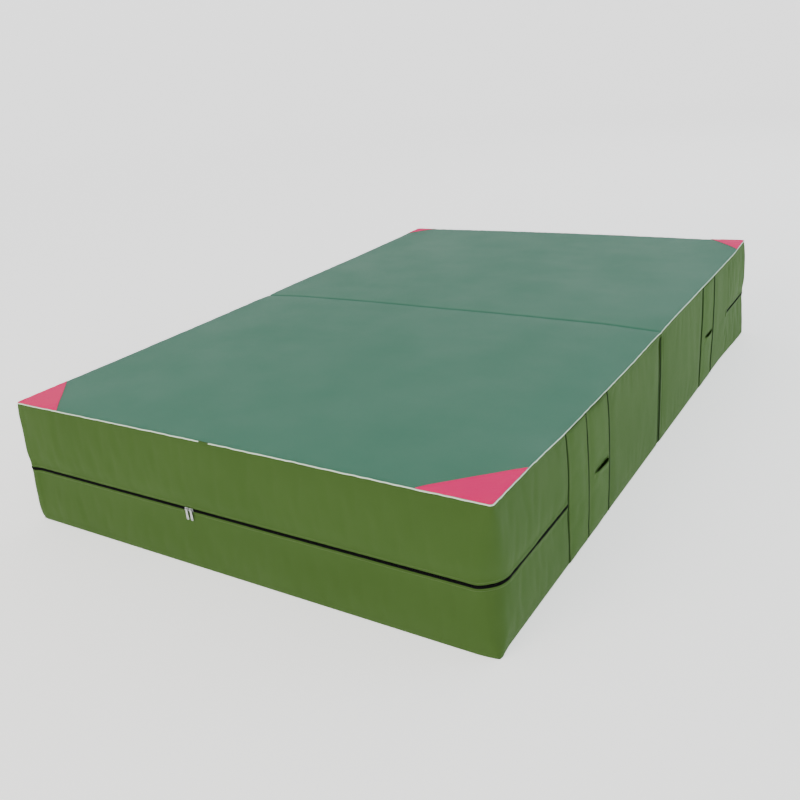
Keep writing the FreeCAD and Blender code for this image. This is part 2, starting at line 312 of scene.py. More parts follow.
def top_point(x, y, out=0.0):
    """A point on the top sheet, or above it by out, from its place on the sharp-cornered sheet."""
    x, y = rounded_rect(x, y, (-HALF_L, HALF_L), (END_R[-1],) * 2, (END_REACH,) * 2)
    z = top_z(x, y) + out
    near_side = smoothstep(1 - (HALF_W - np.abs(x)) / PUSH_REACH) * smoothstep(np.abs(y) / FOLD_FADE)
    x = x + np.sign(x) * side_push(x, y) * near_side
    y = y + np.sign(y) * end_push(x) * smoothstep(1 - (HALF_L - np.abs(y)) / PUSH_REACH)
    return np.stack([x, y, z], -1)


def on_end(a):
    """1 across the block's end and 0 along its sides, with a soft step at the corners."""
    return smoothstep((along_right(a) - SIDE) / CORNER_FADE + 0.5)


def splay(a):
    """How far the foot of the wall stands out: across the end, and round its left corner."""
    past_left = (a - SIDE - ACROSS) / SPLAY_FADE
    return END_SPLAY * smoothstep((a - SIDE) / CORNER_FADE + 0.5) * smoothstep(1 - past_left)


def inside_block(x, y):
    """How far in from a block's sharp-cornered outline a place is."""
    return np.minimum(HALF_W - np.abs(x), np.minimum(y - END_Y, FOLD_Y - y))


def bottom_point(block, x, y):
    """A point on a block's underside sheet."""
    near_side = smoothstep(1 - (HALF_W - np.abs(x)) / PUSH_REACH)
    near_end = smoothstep(1 - (y - END_Y) / PUSH_REACH)
    side_a = np.where(x > 0, FOLD_Y - y, LEFT_FOLD_A - FOLD_Y + y)
    out_x = np.sign(x) * splay(side_a) * near_side
    out_y = -splay(SIDE + HALF_W - x) * near_end
    inside = inside_block(x, y)
    x, y = rounded_rect(x, y, (END_Y, FOLD_Y), (END_R[0], FOLD_R[-1]), (END_REACH, FOLD_REACH))
    lift = 1.2 * MM * np.exp(-np.maximum(inside - BOTTOM_TUCK, 0) / TUCK_HEIGHT)
    rumple = 0.5 * MM * np.abs(ripples(x, y, 0.25, 31)) * smoothstep(inside / 0.1)
    return np.stack([block.turn * (x + out_x), block.turn * (y + out_y), 0.1 * MM + lift + rumple], -1)


def seam_edge(block, a):
    """The height of the wall's top edge, and how far it stands out."""
    xy, _ = plan(a, TOP_Z, FOLD_R[0])
    x, y = block.turn * xy[..., 0], block.turn * xy[..., 1]
    at_end = (HALF_L - np.abs(y)) < (HALF_W - np.abs(x))
    push = np.where(at_end, end_push(x), side_push(x, y) * smoothstep(np.abs(y) / FOLD_FADE))
    return top_z(x, y) - SEAM_DROP, push


def along_right(a):
    """The distance along the right side that matches a, on either side of the block."""
    a = a % LOOP
    return np.where(a > (LOOP + LEFT_FOLD_A) / 2, a - LOOP, np.minimum(a, LEFT_FOLD_A - a))


def pillow(share):
    return np.clip(4 * share * (1 - share), 0, 1) ** 0.75


def in_slot(block, right_a, soft=15 * MM):
    """1 within the hand slot's length and 0 outside it."""
    start = smoothstep((right_a - block.slot[0] + soft) / (2 * soft))
    return start * smoothstep((block.slot[1] + soft - right_a) / (2 * soft))


def pocket(block, a, z):
    """How deep the wall behind a hand slot is pushed in."""
    return POCKET_DEPTH * in_slot(block, along_right(a)) * bell(z - block.slot_z, POCKET_REACH)


def seam_slope(from_seam):
    """How the cloth dips towards a seam: broadly on the fold's side, and shortly on the other."""
    broad, short = (bell(from_seam, reach) for reach in SLOPE_REACH)
    return np.where(from_seam < 0, broad, short) * SLOPE_DEPTH


def corner_fills(block, a, z):
    """The fuller cover at the front block's left corner, and at the zip just past the right one."""
    left = LEFT_CORNER_BULGE * (block.turn > 0) * bell(a - CORNER_A[2] - LEFT_FILL_AT, LEFT_FILL_WIDTH)
    left = left * smoothstep((LEFT_FILL_TOP - z) / LEFT_FILL_FADE) * (1 - np.exp(-z / 0.03))
    past_right = a - CORNER_A[1] - ZIP_FILL_AT
    return left + ZIP_CORNER_FILL * bell(past_right, ZIP_FILL_WIDTH) * bell(z - ZIP_Z, 25 * MM)


def broad_rumple(block, a, z):
    """Low ripples of the wall, of a long and a shorter wavelength."""
    long_ones = WALL_RUMPLE[0] * ripples(a, z * 0.5, 0.30, 11 + block.turn)
    return long_ones + WALL_RUMPLE[1] * ripples(a, z * 0.3, 0.10, 13)


def wall_offset(block, a, z, edge, push):
    """How far the cover stands out from the flat outline."""
    right_a = along_right(a)
    zipped = smoothstep((right_a - block.zip_a) / ZIPPED_FADE + 0.5)
    below = np.clip(z / ZIP_LOW, 0, 1)
    above = np.clip((z - ZIP_HIGH) / (edge - ZIP_HIGH), 0, 1)
    whole = np.clip(z / edge, 0, 1)
    from_zip = z - ZIP_Z
    at_zip = zipped * bell(from_zip, ZIP_CALM_REACH)
    under_zip = on_end(a) * bell(from_zip + PULLS_BELOW_ZIP, PULLS_REACH)
    calm = np.maximum(at_zip, PULLS_CALM * under_zip)
    on_face = smoothstep(np.clip(right_a, 0, 1) / FACE_FADE)
    # Below the zip the wall is fullest near the floor, and above it just over the zip.
    lower_half = pillow(0.9 * below) * (1 - smoothstep((below - 0.25) / 0.7))
    upper_half = pillow(0.1 + 0.9 * above) ** 0.8 * smoothstep(0.2 + above / 0.35)
    halves = np.where(from_zip < 0, lower_half, upper_half)
    fullness = SIDE_BULGE + (BULGE - SIDE_BULGE) * on_end(a)
    bulge = (zipped * halves * fullness + (1 - zipped) * pillow(whole) * SIDE_BULGE) * on_face
    rumple = broad_rumple(block, a, z) * pillow(whole) * on_face * (1 - calm)
    seams = sum(bell(right_a - s, SEAM_WIDTH) for s in block.seams) * SEAM_DEPTH * smoothstep(z / SEAM_FOOT)
    slopes = sum(seam_slope(right_a - s) for s in block.seams) * smoothstep(z / SLOPE_FOOT)
    near_edge = bell(edge - z, 0.03) + zipped * (bell(from_zip, 0.035) - bell(from_zip, 8 * MM))
    pucker = PUCKER * ripples(a, z, PUCKER_LENGTH, 17) * near_edge
    tuck = BOTTOM_TUCK * np.exp(-z / TUCK_HEIGHT)
    pinch = ZIP_PINCH * zipped * bell(from_zip, 10 * MM)
    out = push * above ** 2 + bulge + corner_fills(block, a, z) + rumple + pucker
    out = out + splay(a) * np.exp(-z / SPLAY_HEIGHT)
    out = out + wrinkle_at(block, a, z) * on_face * (1 - calm)
    fold_back = FOLD_FACE_BACK * smoothstep(0.5 - right_a / FOLD_FACE_FADE)
    fold_back = fold_back * smoothstep((edge - z) / FOLD_FACE_FADE)
    return out - pinch - seams - slopes - pocket(block, a, z) - tuck - fold_back


def wall(block, a, share, z_low, z_high=None, out=0.0):
    """Points on the cover's wall. share runs from 0 at z_low to 1 at z_high, or at the top seam."""
    a, share = np.broadcast_arrays(np.asarray(a, float), share)
    edge, push = seam_edge(block, a)
    z = z_low + share * ((edge if z_high is None else z_high) - z_low)
    xy, normal = plan(a, z, eased(edge - z, FOLD_R_DEPTH, FOLD_R))
    offset = wall_offset(block, a, z, edge, push) + out
    xy = (xy + normal * offset[..., None]) * block.turn
    return np.concatenate([xy, z[..., None]], -1)


def wall_normals(block, a):
    """Outward directions of the wall at zip height."""
    _, normal = plan(a, ZIP_Z, FOLD_R[2])
    return np.concatenate([normal * block.turn, np.zeros(normal.shape[:-1] + (1,))], -1)


# ---------------------------------------------------------------- mesh building

def grid_faces(rows, columns, wrap_rows=False, wrap_columns=False):
    """Quads of a rows x columns grid of points."""
    i = np.arange(rows * columns).reshape(rows, columns)
    if wrap_rows:
        i = np.concatenate([i, i[:1]])
    if wrap_columns:
        i = np.concatenate([i, i[:, :1]], 1)
    return np.stack([i[:-1, :-1], i[1:, :-1], i[1:, 1:], i[:-1, 1:]], -1).reshape(-1, 4)


def vertex_normals(points, faces):
    """Area-weighted normals of a mesh of quads."""
    diagonal_a = points[faces[:, 2]] - points[faces[:, 0]]
    diagonal_b = points[faces[:, 3]] - points[faces[:, 1]]
    per_face = np.cross(diagonal_a, diagonal_b)
    normals = np.zeros_like(points)
    for corner in range(4):
        np.add.at(normals, faces[:, corner], per_face)
    return normals / np.maximum(np.linalg.norm(normals, axis=1, keepdims=True), 1e-12)


def thickened(points, faces, thickness):
    """A closed skin: the surface, a copy inside it, and a rim where it has an edge."""
    inner = points - vertex_normals(points, faces) * thickness
    edges = np.stack([faces, np.roll(faces, -1, 1)], -1).reshape(-1, 2)
    _, first, uses = np.unique(np.sort(edges, 1), axis=0, return_index=True, return_counts=True)
    rim = edges[first[uses == 1]]
    n = len(points)
    rims = np.stack([rim[:, 1], rim[:, 0], rim[:, 0] + n, rim[:, 1] + n], -1)
    return np.concatenate([points, inner]), np.concatenate([faces, faces[:, ::-1] + n, rims])


def make_piece(name, points, faces, material, uv=None):
    """A Blender object from points and quads, with smooth shading."""
    mesh = bpy.data.meshes.new(name)
    mesh.vertices.add(len(points))
    mesh.vertices.foreach_set("co", np.ascontiguousarray(points, np.float32).ravel())
    mesh.loops.add(faces.size)
    mesh.loops.foreach_set("vertex_index", np.ascontiguousarray(faces, np.int32).ravel())
    mesh.polygons.add(len(faces))
    mesh.polygons.foreach_set("loop_start", np.arange(0, faces.size, 4, dtype=np.int32))
    mesh.polygons.foreach_set("use_smooth", np.ones(len(faces), bool))
    if uv is not None:
        layer = mesh.uv_layers.new(name="UVMap")
        layer.data.foreach_set("uv", np.ascontiguousarray(uv[faces.ravel()], np.float32).ravel())
    mesh.update(calc_edges=True)
    mesh.validate()
    mesh.materials.append(material)
    obj = bpy.data.objects.new(name, mesh)
    bpy.context.scene.collection.objects.link(obj)
    return obj


def grid_piece(name, points, uv, material, thickness, flip=False, keep=None):
    """A thick cloth piece from a grid of points."""
    faces = grid_faces(*points.shape[:2])
    if keep is not None:
        faces = faces[keep.ravel()]
    if flip:
        faces = faces[:, ::-1]
    used, faces = np.unique(faces, return_inverse=True)
    faces = faces.reshape(-1, 4)
    points, faces = thickened(points.reshape(-1, 3)[used], faces, thickness)
    uv = uv.reshape(-1, 2)[used]
    return make_piece(name, points, faces, material, np.concatenate([uv, uv]))


def cord(path, normals, radius, sides, along, step_round, closed=False):
    """A tube round a path, whose radius may vary: its points, its quads, and its UV map from the distances
    along it and the step from side to side."""
    ahead = np.roll(path, -1, 0) - np.roll(path, 1, 0) if closed else np.gradient(path, axis=0)
    ahead = ahead / np.linalg.norm(ahead, axis=1, keepdims=True)
    across = np.cross(ahead, normals)
    across = across / np.linalg.norm(across, axis=1, keepdims=True)
    up = np.cross(across, ahead)
    angles = np.arange(sides) * 2 * math.pi / sides
    ring = np.cos(angles)[:, None] * across[:, None] + np.sin(angles)[:, None] * up[:, None]
    points = path[:, None] + ring * np.broadcast_to(radius, len(path))[:, None, None]
    uv = np.stack(grid_of(along, np.arange(sides) * step_round), -1)
    return points.reshape(-1, 3), grid_faces(len(path), sides, closed, True), uv.reshape(-1, 2)


def scattered(template, faces, centres, along, normals):
    """Copies of a small shape: its x runs along, its z along the normal."""
    along = along / np.linalg.norm(along, axis=1, keepdims=True)
    across = np.cross(normals, along)
    across /= np.linalg.norm(across, axis=1, keepdims=True)
    up = np.cross(along, across)
    axes = np.stack([along, across, up], 1)
    points = centres[:, None] + np.einsum("pk,nkc->npc", template, axes)
    count = np.arange(len(centres))[:, None, None] * len(template)
    return points.reshape(-1, 3), (faces[None] + count).reshape(-1, 4)


def capsule(length, width, height):
    """A small rounded bar along x, as points and quads."""
    points = []
    for x, r in ((-0.5, 0.35), (-0.36, 1), (0.36, 1), (0.5, 0.35)):
        for y, z in ((1, 0), (0, 1), (-1, 0), (0, -1)):
            points.append((x * length, y * r * width / 2, z * r * height / 2))
    rings = np.arange(16).reshape(4, 4)
    faces = [(0, 3, 2, 1), (12, 13, 14, 15)]
    for n in range(3):
        for m in range(4):
            o = (m + 1) % 4
            faces.append((rings[n, m], rings[n, o], rings[n + 1, o], rings[n + 1, m]))
    return np.array(points), np.array(faces)[:, ::-1]


def values_at(values, along, at):
    """Points interpolated at those distances along a line."""
    return np.stack([np.interp(at, along, values[:, k]) for k in range(3)], -1)


def evenly(line, normals, pitch):
    """Points at even distances along a line, with its directions and normals there."""
    steps = np.linalg.norm(np.diff(line, axis=0), axis=1)
    along = np.concatenate([[0], np.cumsum(steps)])
    at = np.arange(pitch / 2, along[-1], pitch)
    after, before = np.minimum(at + pitch / 4, along[-1]), np.maximum(at - pitch / 4, 0)
    ahead = values_at(line, along, after) - values_at(line, along, before)
    return values_at(line, along, at), ahead, values_at(normals, along, at)


STITCH = mm(5.5, 1.1, 0.9)
STITCH_PITCH = 7.5 * MM
STITCH_OUT = 0.1 * MM


def stitch_piece(name, lines, material):
    """Rows of thread stitches as one piece. Each line is (points, normals)."""
    parts = [evenly(points, normals, STITCH_PITCH) for points, normals in lines]
    centres, along, normals = (np.concatenate([p[k] for p in parts]) for k in range(3))
    points, faces = scattered(*capsule(*STITCH), centres, along, normals)
    return make_piece(name, points, faces, material, points[:, :2])


# ---------------------------------------------------------------- materials

class Nodes:
    """A short way to build a material's node tree."""

    def __init__(self, name):
        self.material = bpy.data.materials.new(name)
        self.material.use_nodes = True
        self.tree = self.material.node_tree
        self.shader = self.tree.nodes["Principled BSDF"]
        self.where = self.add("TexCoord").outputs["Object"]

    def add(self, kind, **settings):
        node = self.tree.nodes.new("ShaderNode" + kind)
        for key, value in settings.items():
            if hasattr(node, key):
                setattr(node, key, value)
            else:
                node.inputs[key.replace("_", " ")].default_value = value
        return node

    def link(self, source, target):
        self.tree.links.new(source, target)

    def put(self, name, value):
        """Sets one of the shader's inputs to a constant, or links a socket to it."""
        if isinstance(value, (float, tuple)):
            self.shader.inputs[name].default_value = value
        else:
            self.link(value, self.shader.inputs[name])

    def math(self, operation, a, b=None):
        node = self.add("Math", operation=operation)
        for socket, value in zip(node.inputs, (a, b)):
            if isinstance(value, (int, float)):
                socket.default_value = value
            elif value is not None:
                self.link(value, socket)
        return node.outputs[0]

    def noise(self, vector, scale, detail=3.0, roughness=0.5):
        node = self.add("TexNoise", Scale=scale, Detail=detail, Roughness=roughness)
        self.link(vector, node.inputs["Vector"])
        return node.outputs["Fac"]

    def mixed(self, share, colour_a, colour_b):
        node = self.add("Mix", data_type="RGBA")
        self.link(share, node.inputs[0])
        for socket, colour in ((node.inputs[6], colour_a), (node.inputs[7], colour_b)):
            if isinstance(colour, tuple):
                socket.default_value = (*colour, 1)
            else:
                self.link(colour, socket)
        return node.outputs[2]

    def ranged(self, value, low, high, out_low, out_high):
        node = self.add("MapRange")
        self.link(value, node.inputs[0])
        for socket, number in zip(node.inputs[1:5], (low, high, out_low, out_high)):
            socket.default_value = number
        return node.outputs[0]

    def bump(self, height, distance, strength=1.0, normal=None):
        node = self.add("Bump", Distance=distance, Strength=strength)
        self.link(height, node.inputs["Height"])
        if normal is not None:
            self.link(normal, node.inputs["Normal"])
        return node.outputs[0]

    def weave(self, thread):
        """Height of a plain weave with threads of that width, from the UV map in metres."""
        uv = self.add("UVMap", uv_map="UVMap")
        split = self.add("SeparateXYZ")
        self.link(uv.outputs[0], split.inputs[0])
        turns = [self.math("MULTIPLY", split.outputs[k], math.pi / thread) for k in (0, 1)]
        waves = [self.math("SINE", turn) for turn in turns]
        return self.math("MULTIPLY", *waves)


def darker(colour, share):
    return tuple(share * c for c in colour)


def cloth(name, colour, shade, rough=0.75, thread=1.3 * MM, weave=0.12 * MM, crinkle=0.6 * MM, shine=0.15):
    """Coated canvas: two close colours in soft clouds, a plain weave and a fine crinkle."""
    n = Nodes(name)
    clouds = n.noise(n.where, 3.2, 4, 0.55)
    base = n.mixed(n.ranged(clouds, 0.3, 0.7, 0, 1), colour, shade)
    specks = n.ranged(n.noise(n.where, 900, 2), 0.5, 0.8, 0, 0.5)
    n.put("Base Color", n.mixed(specks, base, darker(colour, 0.8)))
    n.put("Roughness", n.ranged(clouds, 0.3, 0.7, rough - 0.05, rough + 0.05))
    crinkles = n.bump(n.noise(n.where, 28, 5, 0.6), crinkle, 0.5)
    n.put("Normal", n.bump(n.weave(thread), weave, 0.6, crinkles))
    n.put("Specular IOR Level", shine)
    return n.material


def metal(name, colour, rough):
    """Plated metal with fine scratches."""
    n = Nodes(name)
    smears = n.noise(n.where, 220, 4)
    n.put("Base Color", n.mixed(smears, colour, darker(colour, 0.82)))
    n.put("Roughness", n.ranged(smears, 0.3, 0.7, rough - 0.08, rough + 0.1))
    n.put("Normal", n.bump(n.noise(n.where, 1500, 2), 0.03 * MM, 0.4))
    n.put("Metallic", 1.0)
    return n.material


def plastic(name, colour, rough, shine=0.4):
    """Moulded or extruded plastic with a faint grain."""
    n = Nodes(name)
    clouds = n.noise(n.where, 40, 3)
    n.put("Base Color", n.mixed(clouds, colour, darker(colour, 0.88)))
    n.put("Roughness", n.ranged(clouds, 0.3, 0.7, rough - 0.06, rough + 0.06))
    n.put("Normal", n.bump(n.noise(n.where, 700, 2), 0.05 * MM, 0.5))
    n.put("Specular IOR Level", shine)
    return n.material


def foam(name, colour):
    """Open-cell foam."""
    n = Nodes(name)
    cells = n.add("TexVoronoi", Scale=420.0)
    n.link(n.where, cells.inputs["Vector"])
    n.put("Base Color", n.mixed(n.noise(n.where, 6, 3), colour, darker(colour, 0.85)))
    n.put("Normal", n.bump(cells.outputs["Distance"], 0.8 * MM))
    n.put("Roughness", 0.95)
    return n.material


TOP_CLOTH = cloth("top_canvas", (0.052, 0.180, 0.118), (0.049, 0.173, 0.113), 0.65, shine=0.2)
COVER_CLOTH = cloth("cover_canvas", (0.040, 0.084, 0.0142), (0.0375, 0.080, 0.0135), 0.78)
BAND_CLOTH = cloth("band_canvas", (0.0425, 0.089, 0.0150), (0.040, 0.085, 0.0143), 0.8,
                   thread=1.8 * MM, weave=0.2 * MM)
BASE_CLOTH = cloth("base_canvas", (0.045, 0.080, 0.018), (0.040, 0.072, 0.016), 0.85)
PINK_CLOTH = cloth("pink_coated_cloth", (0.85, 0.000, 0.140), (0.80, 0.001, 0.150), 0.6,
                   crinkle=0.4 * MM, shine=0.1)
TAPE_CLOTH = cloth("zip_tape_weave", (0.003, 0.003, 0.003), (0.004, 0.004, 0.004), 0.8,
                   thread=0.7 * MM, shine=0.05)
PIPING_VINYL = plastic("piping_vinyl", (0.66, 0.80, 0.66), 0.45, shine=0.2)
ZIP_NYLON = plastic("zip_nylon", (0.004, 0.004, 0.004), 0.6, shine=0.08)
THREAD = plastic("thread", (0.10, 0.16, 0.05), 0.6)
# Dark cord for the upright seams and the fold corner: partly painted shade, darker than the cover to stand
# for the shadow in the seams and the fold gap.
SEAM_SHADE_CORD = plastic("seam_cord", (0.017, 0.036, 0.010), 0.7, shine=0.1)
PINK_THREAD = plastic("pink_thread", (0.75, 0.03, 0.16), 0.6)
TOP_THREAD = plastic("top_thread", (0.10, 0.22, 0.15), 0.6)
METAL_BODY = metal("plated_die_casting", (0.45, 0.46, 0.47), 0.3)
METAL_PULL = metal("plated_pull", (0.55, 0.56, 0.57), 0.25)
SOFT_FOAM = foam("soft_foam", (0.72, 0.66, 0.42))
FIRM_FOAM = foam("firm_foam", (0.35, 0.42, 0.45))


# ---------------------------------------------------------------- placing pieces

COVER_T = 1.6 * MM
BAND_T = 1.4 * MM
ROW_STEP = 14 * MM
WALL_STEP = 9 * MM
FOLD_WRAP = 25 * MM
WALL_LOW = 0.6 * MM
UNDER_EDGE = 12 * MM
HIDDEN_STEP = 30 * MM
UNDERSIDE_STEP = 35 * MM
TOP_STEP = 20 * MM


def stands_for(obj, nodes):
    if nodes:
        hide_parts(*nodes)
    return obj


def place(obj, block, slot, *nodes):
    """Rides the piece on its block."""
    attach(obj, block.body)
    return stands_for(obj, nodes)


def bend_across(obj, slot, *nodes):
    """Bakes a piece of the top, which crosses the fold, into place and hides the parts it stands for."""
    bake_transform(obj)
    return stands_for(obj, nodes)


def bend_at_fold(obj, block, slot, *nodes):
    """Bakes a wall piece into place, without riding it on its block, and hides the parts it stands for."""
    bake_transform(obj)
    return stands_for(obj, nodes)


def shown_side(block, side):
    """Which side of the mat a side of the block in the front place comes to."""
    return side if block.turn > 0 else {"right": "left", "left": "right"}[side]


def side_values(values, side):
    """Distances along the right side, or the matching ones along the left side in rising order."""
    return values if side == "right" else (LEFT_FOLD_A - values)[::-1]


def wall_grid(block, a, shares, z_low, z_high=None, out=0.0):
    """A grid of wall points, rows upwards and columns round the block, and its UV map in metres."""
    share, a = grid_of(shares, a)
    points = wall(block, a, share, z_low, z_high, out)
    return points, np.stack([a, points[..., 2]], -1)


# ---------------------------------------------------------------- wrinkles, by cloth simulation

WRINKLE_STEP = 14 * MM
WRINKLE_WINDOW = 11
WRINKLE_SHARE = 0.7
WRINKLE_CAP = 3 * MM
CLOTH_EXCESS = 0.005
CLOTH_PRESSURE = 3.5
CLOTH_FRAMES = 22


def sewn_down(block, a, z):
    """Which points of a grid of wall cloth are held: the edges, the zip and the upright seams."""
    right_a = along_right(a)
    held = np.zeros((len(z), len(a)), bool)
    held[[0, -1]] = True
    held[:, [0, -1]] = True
    held[np.abs(z - ZIP_Z).argmin(), right_a > block.zip_a] = True
    for seam in block.seams:
        held[:, np.abs(right_a - seam) < WRINKLE_STEP / 2] = True
    return held


def pressed_cloth(points, held):
    """The shape of a flat grid of cloth that is cut slightly too large, held, and pushed outwards."""
    faces = grid_faces(*held.shape)[:, ::-1]
    obj = make_piece("wall_cloth", points.reshape(-1, 3), faces, COVER_CLOTH)
    obj.vertex_groups.new(name="held").add(np.flatnonzero(held).tolist(), 1.0, "REPLACE")
    cloth_modifier = obj.modifiers.new("cloth", "CLOTH")
    settings = cloth_modifier.settings
    settings.vertex_group_mass = "held"
    settings.quality = 4
    settings.mass = 0.4
    settings.tension_stiffness = settings.compression_stiffness = 25
    settings.shear_stiffness = 12
    settings.bending_stiffness = 2.0
    settings.air_damping = 1.5
    settings.shrink_min = -CLOTH_EXCESS
    settings.use_pressure = True
    settings.uniform_pressure_force = CLOTH_PRESSURE
    settings.effector_weights.gravity = 0
    cloth_modifier.point_cache.frame_end = CLOTH_FRAMES
    for frame_number in range(1, CLOTH_FRAMES + 1):
        bpy.context.scene.frame_set(frame_number)
    shape = obj.evaluated_get(bpy.context.evaluated_depsgraph_get()).to_mesh()
    moved = np.empty(points.size, np.float32)
    shape.vertices.foreach_get("co", moved)
    bpy.data.objects.remove(obj)
    bpy.context.scene.frame_set(1)
    return moved.reshape(points.shape)


def running_mean(heights, count):
    """The mean of the count x count points round each point of a grid."""
    window = np.ones(count) / count
    for _ in range(2):
        padded = np.pad(heights, ((0, 0), (count // 2,) * 2), "edge")
        heights = np.stack([np.convolve(row, window, "valid") for row in padded]).T
    return heights


def wrinkles(block):
    """The wrinkles of a block's wall on a grid: the simulated cloth less its broad swelling, which the wall
    has already."""
    a = np.arange(0, LEFT_FOLD_A + WRINKLE_STEP, WRINKLE_STEP)
    z = np.arange(0, TOP_Z + WRINKLE_STEP / 2, WRINKLE_STEP)
    held = sewn_down(block, a, z)
    grid_a, grid_z = np.meshgrid(a, z)
    uneven = 0.8 * MM * ripples(grid_a, grid_z, 0.12, 71 + block.turn) * ~held
    cloth_shape = pressed_cloth(np.stack([grid_a, grid_z, uneven], -1), held)[..., 2]
    fine = np.clip(cloth_shape - running_mean(cloth_shape, WRINKLE_WINDOW), -WRINKLE_CAP, WRINKLE_CAP)
    at_seam = sum(bell(along_right(a) - seam, 25 * MM) for seam in block.seams)
    at_edge = bell(np.minimum(z, TOP_Z - z), 25 * MM)[:, None]
    return fine * WRINKLE_SHARE * (1 - np.clip(at_seam, 0, 1)) * (1 - at_edge)


def wrinkle_at(block, a, z):
    """How far the wrinkles stand out at a place on the wall."""
    heights = WRINKLES[block.name]
    column = np.clip((a % LOOP) / WRINKLE_STEP, 0, heights.shape[1] - 1.001)
    row = np.clip(z / WRINKLE_STEP, 0, heights.shape[0] - 1.001)
    i, j = row.astype(int), column.astype(int)
    up, along = row - i, column - j
    low = heights[i, j] * (1 - along) + heights[i, j + 1] * along
    high = heights[i + 1, j] * (1 - along) + heights[i + 1, j + 1] * along
    return low * (1 - up) + high * up


WRINKLES = {block.name: wrinkles(block) for block in BLOCKS}


# ---------------------------------------------------------------- foam

FOAM_GAP = 4 * MM
FOAM_SIDE_GAP = 13 * MM
FOAM_EDGE_DROP = 42 * MM
FOAM_ROUNDING = 14 * MM
FOAM_ROUNDING_WIDTH = 16 * MM
FOAM_LEVELS = 12
GLUE_HALF_GAP = 0.3 * MM
FOAM_STEP = 45 * MM
GLUE_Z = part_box("front_foam_base")[1].z
FOAM_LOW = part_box("front_foam_base")[0].z


def boundary_loop(xs, ys):
    """The grid's outer points in order round the block, as grid indices, and their distances a."""
    last_x, last_y = len(xs) - 1, len(ys) - 1
    right = [(last_x, j) for j in range(last_y, 0, -1)]
    end = [(i, 0) for i in range(last_x, 0, -1)]
    left = [(0, j) for j in range(last_y)]
    fold = [(i, last_y) for i in range(last_x)]
    a = [FOLD_Y - ys[j] for _, j in right] + [SIDE + HALF_W - xs[i] for i, _ in end]
    a += [SIDE + ACROSS + ys[j] - END_Y for _, j in left] + [LEFT_FOLD_A + HALF_W + xs[i] for i, _ in fold]
    index = np.array([i * len(ys) + j for i, j in right + end + left + fold])
    return index, np.array(a)


def foam_cap(block, x, y, z, loop, a):
    """The top or bottom of a foam layer: flat at z, or following the top sheet where z is None."""
    end_r = eased(np.array(TOP_Z if z is None else z), END_R_Z, END_R)
    rx, ry = rounded_rect(x, y, (END_Y, FOLD_Y), (end_r, FOLD_R[1]), (END_REACH, FOLD_REACH))
    middle_y = (END_Y + FOLD_Y) / 2
    rx = rx * (1 - FOAM_SIDE_GAP / HALF_W) * block.turn
    ry = (middle_y + (ry - middle_y) * (1 - 2 * FOAM_SIDE_GAP / SIDE)) * block.turn
    if z is None:
        height = top_z(rx, ry) - FOAM_GAP - FOAM_ROUNDING * bell(inside_block(x, y), FOAM_ROUNDING_WIDTH)
        return np.stack([rx, ry, height], -1).reshape(-1, 3)
    cap = np.stack([rx, ry, np.full_like(rx, z)], -1).reshape(-1, 3)
    cap[loop] = wall(block, a, 0, z, out=-FOAM_SIDE_GAP)
    return cap


def foam_layer(block, name, z_low, z_high, material):
    """One closed foam slab that follows the inside of the covers."""
    ranges = (-HALF_W, HALF_W), (END_Y, FOLD_Y)
    xs, ys = (spaced(*ends, FOAM_STEP, ends, (8, 20, 40, 80)) for ends in ranges)
    x, y = grid_of(xs, ys)
    loop, a = boundary_loop(xs, ys)
    caps = [foam_cap(block, x, y, z, loop, a) for z in (z_low, z_high)]
    if z_high is None:
        levels = np.linspace(z_low, TOP_Z - FOAM_EDGE_DROP, FOAM_LEVELS)[1:]
    else:
        levels = np.linspace(z_low, z_high, FOAM_LEVELS)[1:-1]
    rows = [wall(block, a, 0, z, out=-FOAM_SIDE_GAP) for z in levels]
    n = x.size
    rings = [loop] + [2 * n + k * len(loop) + np.arange(len(loop)) for k in range(len(rows))] + [loop + n]
    sides = [np.stack([low, np.roll(low, -1), np.roll(high, -1), high], -1)[:, ::-1]
             for low, high in zip(rings, rings[1:])]
    faces = grid_faces(*x.shape)
    faces = np.concatenate([faces[:, ::-1], faces + n, *sides])
    return make_piece(f"{block.name}_{name}", np.concatenate([*caps, *rows]), faces, material)


def foam_layers(block):
    upper = foam_layer(block, "foam_block_upper", GLUE_Z + GLUE_HALF_GAP, None, SOFT_FOAM)
    place(upper, block, "foam_soft", f"{block.name}_foam_top")
    base = foam_layer(block, "foam_block_base", FOAM_LOW, GLUE_Z - GLUE_HALF_GAP, FIRM_FOAM)
    place(base, block, "foam_firm", f"{block.name}_foam_base")


# ---------------------------------------------------------------- cover walls and underside

HEM_RAISE = 1.3 * MM
HEM_WIDTH = 11 * MM


def hem_out(z, edge_z):
    """Raises the cloth next to a zip, where its edge is folded double."""
    return HEM_RAISE * smoothstep(1.4 - np.abs(z - edge_z) / HEM_WIDTH)


ZIP_GAP_AT = (0.13, 0.19, 0.25, 0.30)
ZIP_HALF_GAP = {"front": mm(6.3, 2.6, 3.0, 6.3), "back": mm(6.3, 6.3, 6.3, 6.3)}


def zip_half_gap(block, a):
    """Half of the gap between the covers' edges: wide across the end, and nearly closed part of the way
    along the front block's sides."""
    past_corner = SIDE - along_right(a)
    return eased(past_corner, ZIP_GAP_AT, ZIP_HALF_GAP[block.name])


